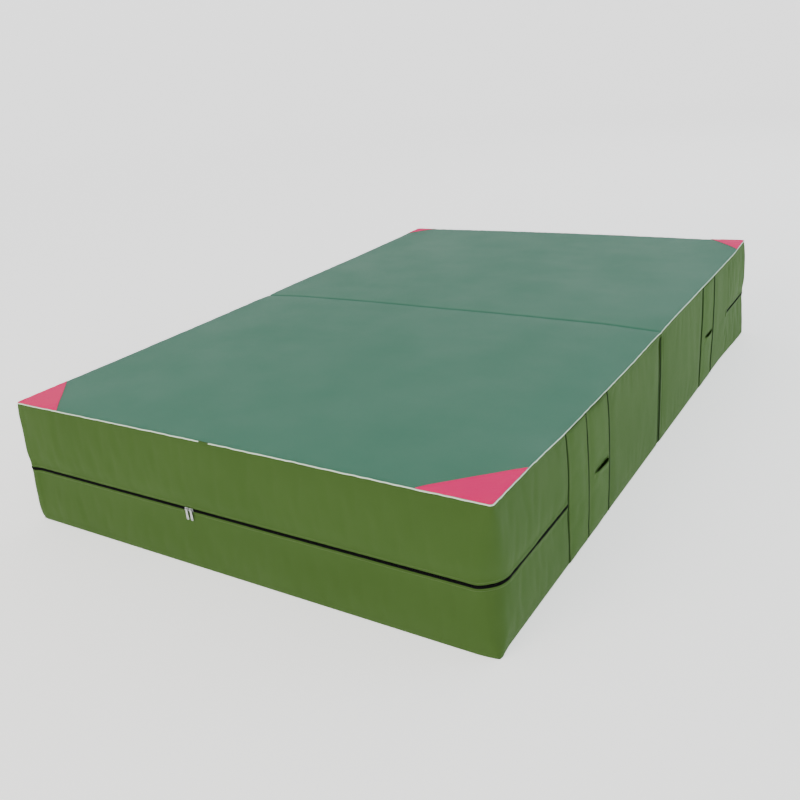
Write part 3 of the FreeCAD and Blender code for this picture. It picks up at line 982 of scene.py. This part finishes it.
def end_walls(block):
    """The two strips round the block's end, above and below the zip."""
    start, end = block.zip_a, LEFT_FOLD_A - block.zip_a
    a = spaced(start, end, WALL_STEP, (start, end), (1.5, 3, 5, 7.5))
    gap = zip_half_gap(block, a)
    for half, z_low, z_high, zip_edge in (("upper", ZIP_HIGH, TOP_Z, ZIP_HIGH),
                                          ("lower", WALL_LOW, ZIP_LOW, ZIP_LOW)):
        rows = spaced(z_low, z_high, ROW_STEP, (z_low, z_high))
        shares = (rows - z_low) / (z_high - z_low)
        raised = hem_out(rows, zip_edge)[:, None]
        from_z, to_z = (ZIP_Z + gap, None) if half == "upper" else (z_low, ZIP_Z - gap)
        points, uv = wall_grid(block, a, shares, from_z, to_z, raised)
        piece = grid_piece(f"{block.name}_end_wall_cloth_{half}", points, uv, COVER_CLOTH, COVER_T)
        place(piece, block, "cover_canvas", f"{block.name}_end_wall_{half}")


def side_walls(block):
    """The full-height panels from the zip's end to the fold corner."""
    seams = [s for s in block.seams if s < block.zip_a - MM]
    right = spaced(FOLD_WRAP, block.zip_a, WALL_STEP, [*seams, block.zip_a])
    finer_at = (WALL_LOW, block.slot_z, TOP_Z - UNDER_EDGE)
    rows = spaced(WALL_LOW, TOP_Z, ROW_STEP, finer_at, (4, 8, 12, 17, 23, 30))
    for side in ("right", "left"):
        points, uv = wall_grid(block, side_values(right, side), rows / TOP_Z, rows[0])
        shown = shown_side(block, side)
        piece = grid_piece(f"{block.name}_side_wall_cloth_{shown}", points, uv, COVER_CLOTH, COVER_T)
        bend_at_fold(piece, block, "cover_canvas", f"{block.name}_side_panel_{shown}")


def fold_wall(block):
    """The hidden wall that faces the other block, with its corners."""
    start, end = LEFT_FOLD_A - FOLD_WRAP, LOOP + FOLD_WRAP
    a = spaced(start, end, HIDDEN_STEP, (LEFT_FOLD_A, LOOP), (3, 7, 12, 18, 25, 33, 42))
    rows = spaced(WALL_LOW, TOP_Z, HIDDEN_STEP, (WALL_LOW, TOP_Z - UNDER_EDGE), (4, 8, 12, 17, 23, 30, 40))
    points, uv = wall_grid(block, a, rows / TOP_Z, rows[0])
    piece = grid_piece(f"{block.name}_fold_face_cloth", points, uv, COVER_CLOTH, COVER_T)
    bend_at_fold(piece, block, "cover_canvas", f"{block.name}_fold_face")


def underside(block):
    """The sheet that the block rests on."""
    inset = BOTTOM_TUCK + 0.5 * MM
    ranges = (-HALF_W + inset, HALF_W - inset), (END_Y + inset, FOLD_Y - inset)
    x, y = grid_of(*(spaced(*ends, UNDERSIDE_STEP, ends, (3, 7, 12, 20, 30)) for ends in ranges))
    points = bottom_point(block, x, y)
    uv = np.stack([x, y], -1)
    piece = grid_piece(f"{block.name}_underside_cloth", points, uv, BASE_CLOTH, 1.2 * MM, flip=True)
    place(piece, block, "base_sheet", f"{block.name}_bottom_panel")


# ---------------------------------------------------------------- top sheet, patches and piping

TOP_INSET = 1.5 * MM
CORD_R = 0.56 * PIPING_R
SIDE_CORD_SUNK = 0.22
PIPING_DOWN = 2.5 * MM
PIPING_STEP = 11 * MM
PIPING_SIDES = 12
SLEEVE_SIDES = 14
SLEEVE_T = 0.8 * MM
PATCH_T = 0.9 * MM
PATCH_STITCH_IN = 6 * MM
PATCH_FOLD = 9 * MM
PATCH_TRIMMED = 11 * MM
PATCH_CRINKLE = 0.35 * MM
TOP_STITCH_IN = 9 * MM
TOP_STITCH_STEP = 8 * MM


def top_sheet():
    """One sheet over both blocks, which is also their hinge."""
    low, high = -HALF_W + TOP_INSET, HALF_W - TOP_INSET
    xs = spaced(low, high, TOP_STEP, (low, high), (3, 6, 10, 15, 22, 30))
    low, high = -HALF_L + TOP_INSET, HALF_L - TOP_INSET
    ys = spaced(low, high, TOP_STEP, (low, 0, high), (2, 4, 6.5, 9, 12, 15, 19, 24, 30))
    x, y = grid_of(xs, ys)
    piece = grid_piece("top_sheet", top_point(x, y), np.stack([x, y], -1), TOP_CLOTH, COVER_T)
    bend_across(piece, "top_sheet", "front_top_panel", "back_top_panel", "fold_hinge_panel")


def patch_leg(block, side):
    """The length of a patch's two short sides, whose far corners are trimmed by the top seam."""
    low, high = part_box(f"{block.name}_corner_patch_{side}")
    return high.x - low.x + PATCH_TRIMMED


def patch_point(leg, sign_x, sign_y, share, along, out):
    """A point on a corner patch. share runs from the corner to the long edge, and along runs from the side
    to the end. The long edge waves a little, like cloth that was folded under by hand."""
    wave = 1 + 0.004 * np.sin(2 * math.pi * (1.2 * along + 0.2 * sign_x))
    wave = wave + 0.002 * np.sin(17 * along + sign_y)
    reach = leg * share * (1 + (wave - 1) * share)
    from_side = TOP_INSET + reach * along
    from_end = TOP_INSET + reach * (1 - along)
    return top_point(sign_x * (HALF_W - from_side), sign_y * (HALF_L - from_end), out)


def corner_patch(block, side):
    """A coated triangle sewn over one outer corner of the top."""
    sign_x, sign_y = (1 if side == "right" else -1), -block.turn
    leg = patch_leg(block, side)
    fold_over = PATCH_FOLD / leg
    shares = np.concatenate([np.linspace(0.01, 0.94, 40), np.linspace(0.945, 1, 12)])
    share, along = grid_of(shares, np.linspace(0, 1, 61))
    turned_under = smoothstep((share - 1 + fold_over) / (2 * MM / leg))
    stitch_dip = bell((1 - share) * leg - PATCH_STITCH_IN, 2 * MM)
    crinkle = PATCH_CRINKLE * ripples(share * leg, along * leg, 0.03, 41 + sign_x + 3 * sign_y)
    free = smoothstep(share * 6) * smoothstep((1 - share) * 10 + 0.3)
    out = (1.0 + 0.5 * turned_under - 0.3 * stitch_dip) * MM + np.abs(crinkle) * free
    points = patch_point(leg, sign_x, sign_y, share, along, out)
    uv = np.stack([share * leg, along * leg], -1)
    name = f"{block.name}_corner_patch_cloth_{side}"
    piece = grid_piece(name, points, uv, PINK_CLOTH, PATCH_T, flip=sign_x * sign_y > 0)
    place(piece, block, "corner_patch", f"{block.name}_corner_patch_{side}")
    share = 1 - PATCH_STITCH_IN / leg
    line = patch_point(leg, sign_x, sign_y, share, np.linspace(0.02, 0.98, 80), 1.5 * MM)
    name = f"{block.name}_corner_patch_stitching_{side}"
    place(stitch_piece(name, [(line, upwards(line))], PINK_THREAD), block, "corner_patch")


def upwards(points):
    return np.broadcast_to((0.0, 0.0, 1.0), points.shape)


def seam_line(block, a, inwards):
    """The piping's line along a block's top seam, moved in from the outline, and its outward directions."""
    xy, normal = plan(a, TOP_Z, FOLD_R[0])
    edge, push = seam_edge(block, a)
    xy = (xy + normal * (push - inwards)[..., None]) * block.turn
    normal = np.concatenate([normal * block.turn, np.full(a.shape + (1,), 0.6)], -1)
    return np.concatenate([xy, (edge + SEAM_DROP - PIPING_DOWN)[..., None]], -1), normal


def straight_over_fold(line):
    """Holds the piping's sideways place where it runs over the fold, between the blocks' corners."""
    near = np.abs(line[:, 1]) < 12 * MM
    line[near, 0] = np.sign(line[near, 0]) * (HALF_W - PIPING_INSET)
    return line


def piping_loop():
    """The cord's line round the whole mat, and its outward directions."""
    a = spaced(0, LEFT_FOLD_A, PIPING_STEP, (SIDE, SIDE + ACROSS), (4, 8, 12, 16, 20, 25, 31, 38))
    a = np.concatenate([mm(0, 3, 6, 9), a[a > 12 * MM]])
    a = np.concatenate([a[a < LEFT_FOLD_A - 12 * MM], LEFT_FOLD_A - np.array([9, 6, 3, 0]) * MM])
    wobble = 0.4 * MM * ripples(a, 0 * a, 0.06, 21)
    lines = [seam_line(block, a, PIPING_INSET + wobble) for block in BLOCKS]
    path = straight_over_fold(np.concatenate([line for line, _ in lines]))
    return path, np.concatenate([normal for _, normal in lines])


def piping():
    """The white cord round the top seam, sewn in with slight swelling and narrowing."""
    path, normals = piping_loop()
    along = np.arange(len(path)) * PIPING_STEP
    pinch = 0.12 * bell(path[:, 1], 10 * MM)
    from_end, from_side = HALF_L - np.abs(path[:, 1]), HALF_W - np.abs(path[:, 0])
    sunk = SIDE_CORD_SUNK * smoothstep((from_end - from_side) / 0.2)
    radius = CORD_R * (1 + 0.03 * ripples(along, 0 * along, 0.05, 23) - pinch - sunk)
    step_round = 2 * math.pi * CORD_R / PIPING_SIDES
    points, faces, uv = cord(path, normals, radius, PIPING_SIDES, along, step_round, closed=True)
    piece = make_piece("piping_cord", points, faces, PIPING_VINYL, uv)
    bend_across(piece, "piping", "front_piping", "back_piping", "fold_piping_left", "fold_piping_right")


def top_stitching():
    """The row of stitches that holds the piping, on the top sheet."""
    x, y = HALF_W - TOP_STITCH_IN, HALF_L - TOP_STITCH_IN
    xs, ys = (np.arange(-end, end, TOP_STITCH_STEP) for end in (x, y))
    loop_x = np.concatenate([xs, np.full_like(ys, x), -xs, np.full_like(ys, -x), [-x]])
    loop_y = np.concatenate([np.full_like(xs, -y), ys, np.full_like(xs, y), -ys, [-y]])
    line = top_point(loop_x, loop_y, STITCH_OUT)
    piece = stitch_piece("top_seam_stitching", [(line, upwards(line))], TOP_THREAD)
    bend_across(piece, "top_sheet")


def join_tab():
    """A small sleeve of cover cloth over the place where the piping's two ends meet."""
    low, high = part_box("front_piping_join_tab")
    a = SIDE + HALF_W - np.linspace(high.x, low.x, 23)
    path, normals = seam_line(BLOCKS[0], a, np.full(len(a), PIPING_INSET))
    along = np.linspace(0, 1, len(a))
    creases = 0.25 * MM * np.sin(41 * along) + 0.15 * MM * np.sin(97 * along + 1)
    step_round = 2 * math.pi * CORD_R / SLEEVE_SIDES
    points, faces, uv = cord(path, normals, CORD_R + 0.9 * MM + creases, SLEEVE_SIDES,
                             along * (high.x - low.x), step_round)
    points, faces = thickened(points, faces, SLEEVE_T)
    piece = make_piece("front_piping_join_sleeve", points, faces, COVER_CLOTH, np.concatenate([uv, uv]))
    place(piece, BLOCKS[0], "cover_canvas", "front_piping_join_tab")


# ---------------------------------------------------------------- zips

TOOTH_PITCH = 3.2 * MM
TOOTH = mm(5.0, 1.5, 2.8)
TOOTH_FROM_MIDDLE = 1.5 * MM
TAPE_T = 0.7 * MM
TAPE_OUT = -1.7 * MM
TAPE_STEP = 10 * MM
ZIP_HEM = 7 * MM
METAL_EDGE = 0.35 * MM


def zip_line(block, a, z, out):
    """Points along the zip, which runs true to the wall's outline at its own height."""
    edge, push = seam_edge(block, a)
    level = np.full_like(a, ZIP_Z)
    xy, normal = plan(a, level, FOLD_R[2])
    offset = wall_offset(block, a, level, edge, push) + ZIP_PINCH + out
    xy = (xy + normal * offset[:, None]) * block.turn
    return np.concatenate([xy, np.full((len(a), 1), z)], -1)


def zip_ends(block):
    """The distances at which a zip starts and ends."""
    return block.zip_a + 2 * MM, LEFT_FOLD_A - block.zip_a - 2 * MM


def zip_tape(block, half):
    """One woven tape."""
    start, end = zip_ends(block)
    low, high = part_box(f"{block.name}_zip_tape_{half}")
    a, rows = np.arange(start, end, TAPE_STEP), np.linspace(low.z, high.z, 5)
    points = np.stack([zip_line(block, a, z, TAPE_OUT) for z in rows])
    uv = np.stack(grid_of(rows, a)[::-1], -1)
    tape = grid_piece(f"{block.name}_zip_tape_weave_{half}", points, uv, TAPE_CLOTH, TAPE_T)
    place(tape, block, "zip_tape", f"{block.name}_zip_tape_{half}")


def zip_teeth(block, half):
    """One row of coil teeth. The lower row starts half a pitch further on than the upper one."""
    start, end = zip_ends(block)
    lower = half == "lower"
    a = np.arange(start + lower * TOOTH_PITCH / 2, end, TOOTH_PITCH)
    places = zip_line(block, a, ZIP_Z + (1 - 2 * lower) * TOOTH_FROM_MIDDLE, 0.0)
    points, faces = scattered(*capsule(*TOOTH), places, upwards(places), wall_normals(block, a))
    teeth = make_piece(f"{block.name}_zip_teeth_{half}", points, faces, ZIP_NYLON, points[:, :2])
    place(teeth, block, "zip_teeth", f"{block.name}_zip_coil_{half}")


def zip_hems(block):
    """The stitches along the covers' folded edges, above and below the zip."""
    a = np.arange(*zip_ends(block), TAPE_STEP)
    hems = []
    for edge_z, sign in ((ZIP_HIGH, 1), (ZIP_LOW, -1)):
        z = edge_z + sign * ZIP_HEM
        line = wall(block, a, 0, z, out=hem_out(z, edge_z) + STITCH_OUT)
        hems.append((line, wall_normals(block, a)))
    place(stitch_piece(f"{block.name}_zip_hem_stitching", hems, THREAD), block, "cover_canvas")


def zip_hardware():
    """The sliders and pulls keep their CAD shape, with softened edges and plated metal."""
    for block in BLOCKS:
        for side in ("left", "right"):
            for part, material in (("zip_slider", METAL_BODY), ("zip_pull", METAL_PULL)):
                node = bpy.data.objects[f"{block.name}_{part}_{side}"]
                for slot in node.material_slots:
                    slot.material = material
                bevel = node.modifiers.new("soft_edges", "BEVEL")
                bevel.width = METAL_EDGE
                bevel.segments = 2
                bevel.limit_method = "ANGLE"


# ---------------------------------------------------------------- carry bands, zip end covers and stops

BAND_OUT = 1.6 * MM
BAND_LOW = 4 * MM
BAND_HEM = 7 * MM
BAND_FULLNESS = 0.8 * MM
HEM_RIDGE_IN = 9 * MM
HEM_RIDGE_WIDTH = 5 * MM
BAR_HALF_H = 17 * MM
LIP = 9 * MM
LIP_REACH = 30 * MM
LIP_FADE = 22 * MM
UPPER_LIP = 4 * MM
UPPER_LIP_REACH = 22 * MM
LIP_ROWS = 22
LIP_CROWDING = 1.6
SLOT_OPEN = 7 * MM
SLIT = 0.2 * MM
SLIT_REACH = 18 * MM
BINDING_R = 1.9 * MM
BINDING_STEP = 3 * MM
CORD_SIDES = 8


def slot_opening(block, right_a):
    """How far the slot is open at that place along it: most in the middle, nothing beyond its ends."""
    middle = sum(block.slot) / 2
    half = (block.slot[1] - block.slot[0]) / 2
    share = np.clip(1 - ((right_a - middle) / half) ** 2, 0, 1)
    return SLOT_OPEN * np.sqrt(share)


def band_piece(block, name, node, shown, points, uv, keep=None):
    """A piece of band cloth that is sewn onto the side wall."""
    piece = grid_piece(f"{block.name}_{name}_{shown}", points, uv, BAND_CLOTH, BAND_T, keep=keep)
    place(piece, block, "webbing_band", f"{block.name}_{node}_{shown}")


def band_stitches(block, name, shown, rows):
    """The rows of stitches along a piece of band cloth."""
    stitches = stitch_piece(f"{block.name}_{name}_stitching_{shown}", rows, THREAD)
    place(stitches, block, "webbing_band")


def band_out(block, a, z, slotted):
    """How far a band stands out from the wall under it."""
    right_a = along_right(a)
    inner, outer = block.handle if slotted else (block.handle[1], block.zip_a)
    across = np.clip((right_a - inner) / (outer - inner), 0, 1)
    body = BAND_FULLNESS * np.clip(4 * across * (1 - across), 0, 1)
    from_edge = np.minimum(across, 1 - across) * (outer - inner)
    hem = BAND_FULLNESS * bell(from_edge - HEM_RIDGE_IN, HEM_RIDGE_WIDTH)
    out = BAND_OUT + body + hem + 0.5 * MM * ripples(a, z, 0.12, 51)
    if not slotted:
        return out
    length = in_slot(block, right_a, LIP_FADE)
    towards_fold = np.clip((block.slot[1] - right_a) / (block.slot[1] - block.slot[0]), 0, 1)
    below = LIP * (0.35 + 0.65 * towards_fold) * bell(z - block.slot_z, LIP_REACH) * (z <= block.slot_z)
    above = -UPPER_LIP * bell(z - block.slot_z, UPPER_LIP_REACH) * (z > block.slot_z)
    return out + length * (below + above) + pocket(block, a, z)


def band_point(block, a, z, side_of_slit=0, extra=0.0):
    """A point on a slotted band. side_of_slit is 1 on the upper lip, -1 on the lower one."""
    a, z = np.broadcast_arrays(np.asarray(a, float), z)
    opening = slot_opening(block, along_right(a))
    lift = side_of_slit * opening / 2 * bell(z - block.slot_z, SLIT_REACH)
    out = band_out(block, a, np.where(side_of_slit < 0, np.minimum(z, block.slot_z), z), True) + extra
    return wall(block, a, 0, z + lift, out=out)


def top_of(block, a):
    return seam_edge(block, np.asarray(a, float))[0]


def carry_band(block, side):
    """A wide band with a hand slot whose lower lip hangs open."""
    inner, outer = block.handle
    right = spaced(inner, outer, 6 * MM, (inner, *block.slot, outer), (1, 2, 3.5, 5, 7, 10))
    a = side_values(right, side)
    shares = np.linspace(0, 1, LIP_ROWS)
    parts = []
    for lip, low, high in ((-1, BAND_LOW, block.slot_z), (1, block.slot_z + SLIT, None)):
        share, grid_a = grid_of(shares, a)
        eased_share = 1 - (1 - share) ** LIP_CROWDING if lip < 0 else share ** LIP_CROWDING
        top = np.broadcast_to(high if high is not None else top_of(block, grid_a), grid_a.shape)
        z = low + (top - low) * eased_share
        parts.append((band_point(block, grid_a, z, lip), np.stack([grid_a, z], -1)))
    points, uv = (np.concatenate([part[k] for part in parts]) for k in (0, 1))
    middle_a = along_right((a[1:] + a[:-1]) / 2)
    keep = np.ones((2 * LIP_ROWS - 1, len(a) - 1), bool)
    keep[LIP_ROWS - 1] = (middle_a < block.slot[0]) | (middle_a > block.slot[1])
    band_piece(block, "carry_band", "handle", shown_side(block, side), points, uv, keep)


def slot_line(block, side):
    """Distances along the hand slot, a millimetre short of its ends."""
    return side_values(np.linspace(block.slot[0] + MM, block.slot[1] - MM, 40), side)


def slot_binding(block, side):
    """The rolled edge round the hand slot."""
    slot_a = slot_line(block, side)
    lower = band_point(block, slot_a, block.slot_z, -1, SLIT)
    upper = band_point(block, slot_a, block.slot_z + SLIT, 1, SLIT)
    ring = np.concatenate([lower, upper[::-1]])
    outwards = np.concatenate([wall_normals(block, slot_a), wall_normals(block, slot_a[::-1])])
    along = np.arange(len(ring)) * BINDING_STEP
    points, faces, uv = cord(ring, outwards, BINDING_R, CORD_SIDES, along, 1.5 * MM, closed=True)
    name = f"{block.name}_hand_slot_binding_{shown_side(block, side)}"
    place(make_piece(name, points, faces, BAND_CLOTH, uv), block, "webbing_band")


def carry_band_stitches(block, side):
    """Stitches down the band's edges, across both ends of the slot, and along its lips."""
    inner, outer = block.handle
    rows = [band_row(block, edge, side) for edge in (inner + BAND_HEM, outer - BAND_HEM)]
    bar = (block.slot_z - BAR_HALF_H, block.slot_z + BAR_HALF_H)
    for end, way in ((block.slot[0], -1), (block.slot[1], 1)):
        rows += [band_row(block, end + way * gap, side, bar) for gap in mm(8, 11, 14)]
    slot_a = slot_line(block, side)
    for lip in (1, -1):
        line = band_point(block, slot_a, block.slot_z + lip * 9 * MM, lip, STITCH_OUT)
        rows.append((line, wall_normals(block, slot_a)))
    band_stitches(block, "carry_band", shown_side(block, side), rows)


def band_row(block, right_a, side, z_range=None, slotted=True):
    """A line up a band, for a row of stitches."""
    a = right_a if side == "right" else LEFT_FOLD_A - right_a
    low, high = z_range or (BAND_LOW + 4 * MM, float(top_of(block, a)) - 5 * MM)
    z = np.linspace(low, high, max(8, round((high - low) / (6 * MM))))
    a = np.full_like(z, a)
    line = wall(block, a, 0, z, out=band_out(block, a, z, slotted) + STITCH_OUT)
    return line, wall_normals(block, a)


def zip_end_cover(block, side):
    """A plain band over the ends of the zip."""
    shown = shown_side(block, side)
    inner, outer = block.handle[1] + 1.5 * MM, block.zip_a
    a = side_values(spaced(inner, outer, 7 * MM, (inner, outer), (1, 2, 3.5, 5, 7, 10)), side)
    share, grid_a = grid_of(np.linspace(0, 1, 40), a)
    z = BAND_LOW + (top_of(block, grid_a) - BAND_LOW) * share
    points = wall(block, grid_a, 0, z, out=band_out(block, grid_a, z, False))
    uv = np.stack([grid_a, z], -1)
    band_piece(block, "zip_end_band", "zip_end_cover", shown, points, uv)
    rows = [band_row(block, edge, side, None, False) for edge in (inner + BAND_HEM, outer - BAND_HEM)]
    band_stitches(block, "zip_end_band", shown, rows)


def zip_end_stop(block, side):
    """A small rectangle of band cloth sewn over the zip's end."""
    shown = shown_side(block, side)
    low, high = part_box(f"{block.name}_zip_end_stop_{shown}")
    length, margin = high.y - low.y, 4 * MM
    flat_size = (length + 5 * MM, high.z - low.z)
    a = side_values(block.zip_a - length + np.linspace(0, flat_size[0], 16), side)
    z, grid_a = grid_of(np.linspace(low.z, high.z, 14), a)
    out = BAND_OUT + 0.3 * MM * ripples(grid_a, z, 0.02, 61)
    points = wall(block, grid_a, 0, z, out=out)
    uv = np.stack([grid_a, z], -1)
    band_piece(block, "zip_end_patch", "zip_end_stop", shown, points, uv)
    rows = []
    for level in (low.z + margin, high.z - margin):
        line = wall(block, a[1:-1], 0, np.full(len(a) - 2, level), out=BAND_OUT + 0.3 * MM)
        rows.append((line, wall_normals(block, a[1:-1])))
    band_stitches(block, "zip_end_patch", shown, rows)


# Dark cords stand proud at each upright seam; their darkness is partly painted shade for the seam's groove.
SEAM_SHADE_CORD_R = {"front": mm(1.4, 2.4, 2.1), "back": mm(1.9, 2.5)}
SEAM_SHADE_CORD_OUT = {"front": mm(5, 6.8, 5.6), "back": mm(5, 6.8)}
SEAM_SHADE_CORD_LOW = 9 * MM
# The cord down the fold corner is painted shade: a dark line that stands for the shadow in the gap between
# the blocks.
FOLD_SHADOW_CORD_A = 6 * MM
FOLD_SHADOW_CORD_R = 3 * MM
FOLD_SHADOW_CORD_DROP = 22 * MM


def seam_and_fold_shade_cords(block, side):
    """Dark cords at the upright seams, part seam and part painted shade, and at the fold corner, painted
    shade.
    """
    cords = []
    # The last cord runs down the fold corner and is painted shade for the gap between the blocks.
    sizes = zip([*block.seams, FOLD_SHADOW_CORD_A], [*SEAM_SHADE_CORD_R[block.name], FOLD_SHADOW_CORD_R],
                [*SEAM_SHADE_CORD_OUT[block.name], 0])
    for seam, r, out in sizes:
        from_top = FOLD_SHADOW_CORD_DROP if seam == FOLD_SHADOW_CORD_A else 2 * MM
        a = seam if side == "right" else LEFT_FOLD_A - seam
        z = np.linspace(SEAM_SHADE_CORD_LOW, float(top_of(block, a)) - from_top, 70)
        a = np.full_like(z, a)
        line = wall(block, a, 0, z, out=out)
        cords.append(cord(line, wall_normals(block, a), r, CORD_SIDES, z, 1.6 * MM))
    points, uv = (np.concatenate([each[k] for each in cords]) for k in (0, 2))
    faces = np.concatenate([faces + n * len(cords[0][0]) for n, (_, faces, _) in enumerate(cords)])
    name = f"{block.name}_seam_cords_{shown_side(block, side)}"
    place(make_piece(name, points, faces, SEAM_SHADE_CORD, uv), block, "webbing_band")


for block in BLOCKS:
    foam_layers(block)
    end_walls(block)
    side_walls(block)
    fold_wall(block)
    underside(block)
top_sheet()
piping()
top_stitching()
join_tab()
for block in BLOCKS:
    for half in ("upper", "lower"):
        zip_tape(block, half)
        zip_teeth(block, half)
    zip_hems(block)
    for side in ("right", "left"):
        corner_patch(block, side)
        carry_band(block, side)
        slot_binding(block, side)
        carry_band_stitches(block, side)
        seam_and_fold_shade_cords(block, side)
        if block.name == "front":
            zip_end_cover(block, side)
        else:
            zip_end_stop(block, side)
zip_hardware()


# ---------------------------------------------------------------- camera, light and floor

CAMERA_AT = Vector((1.9387, -3.2895, 1.6521))
CAMERA_AZIMUTH = 33.77
CAMERA_ELEVATION = 22.48
CAMERA_ROLL = -5.4
CAMERA_LENS = 39.51
SENSOR_WIDTH = 36
LIGHTS_AIM = Vector((0, 0, 0.2))


def add_camera():
    """The main view's camera: the front end and the right side, from a little above."""
    azimuth, elevation = math.radians(CAMERA_AZIMUTH), math.radians(CAMERA_ELEVATION)
    forward = Vector((-math.sin(azimuth) * math.cos(elevation),
                      math.cos(azimuth) * math.cos(elevation), -math.sin(elevation)))
    data = bpy.data.cameras.new("camera")
    data.lens = CAMERA_LENS
    data.sensor_width = SENSOR_WIDTH
    camera = bpy.data.objects.new("camera", data)
    bpy.context.scene.collection.objects.link(camera)
    turn = forward.to_track_quat("-Z", "Y").to_matrix() @ Matrix.Rotation(math.radians(CAMERA_ROLL), 3, "Z")
    camera.matrix_world = Matrix.Translation(CAMERA_AT) @ turn.to_4x4()
    bpy.context.scene.camera = camera


def add_light(name, position, size, power, colour=(1, 1, 1)):
    data = bpy.data.lights.new(name, "AREA")
    data.size = size
    data.energy = power
    data.color = colour
    light = bpy.data.objects.new(name, data)
    light.location = position
    light.rotation_euler = (LIGHTS_AIM - Vector(position)).to_track_quat("-Z", "Y").to_euler()
    bpy.context.scene.collection.objects.link(light)


STUDIO_R = 30.0
STUDIO_BEND_R = 14.0
STUDIO_H = 16.0
STUDIO_SIDES = 48
WORLD_STRENGTH = 0.6


def add_studio():
    """A pale floor that curves up into a pale wall all round."""
    n = Nodes("floor_paint")
    n.put("Base Color", n.mixed(n.noise(n.where, 1.5, 2), (0.88, 0.88, 0.88), (0.86, 0.86, 0.86)))
    n.put("Roughness", 0.95)
    n.put("Emission Color", (1.0, 1.0, 1.0, 1.0))
    n.put("Emission Strength", 1.0)
    turn = np.linspace(0, math.pi / 2, 9)
    bend = STUDIO_R - STUDIO_BEND_R
    radii = np.concatenate([[0.1 * MM, bend / 2], bend + STUDIO_BEND_R * np.sin(turn), [STUDIO_R]])
    heights = np.concatenate([[0, 0], STUDIO_BEND_R * (1 - np.cos(turn)), [STUDIO_H]]) - 0.5 * MM
    angles = np.arange(STUDIO_SIDES) * 2 * math.pi / STUDIO_SIDES
    ring = np.stack([np.cos(angles), np.sin(angles)], -1)
    rows = [np.column_stack([ring * r, np.full(STUDIO_SIDES, h)]) for r, h in zip(radii, heights)]
    faces = grid_faces(len(radii), STUDIO_SIDES, False, True)
    floor = make_piece("floor", np.concatenate(rows), faces, n.material)


def add_world():
    world = bpy.data.worlds.new("studio")
    world.use_nodes = True
    background = world.node_tree.nodes["Background"]
    background.inputs[0].default_value = (1, 1, 1, 1)
    background.inputs[1].default_value = WORLD_STRENGTH
    bpy.context.scene.world = world


add_camera()
add_studio()
add_world()
add_light("key", (-1.5, -7.5, 4.2), 5.0, 270, (1.0, 0.89, 0.70))
add_light("side", (7.5, 4.5, 2.2), 4.0, 240, (0.44, 0.82, 1.0))
add_light("back", (0.5, 8.0, 6.0), 6.0, 110)
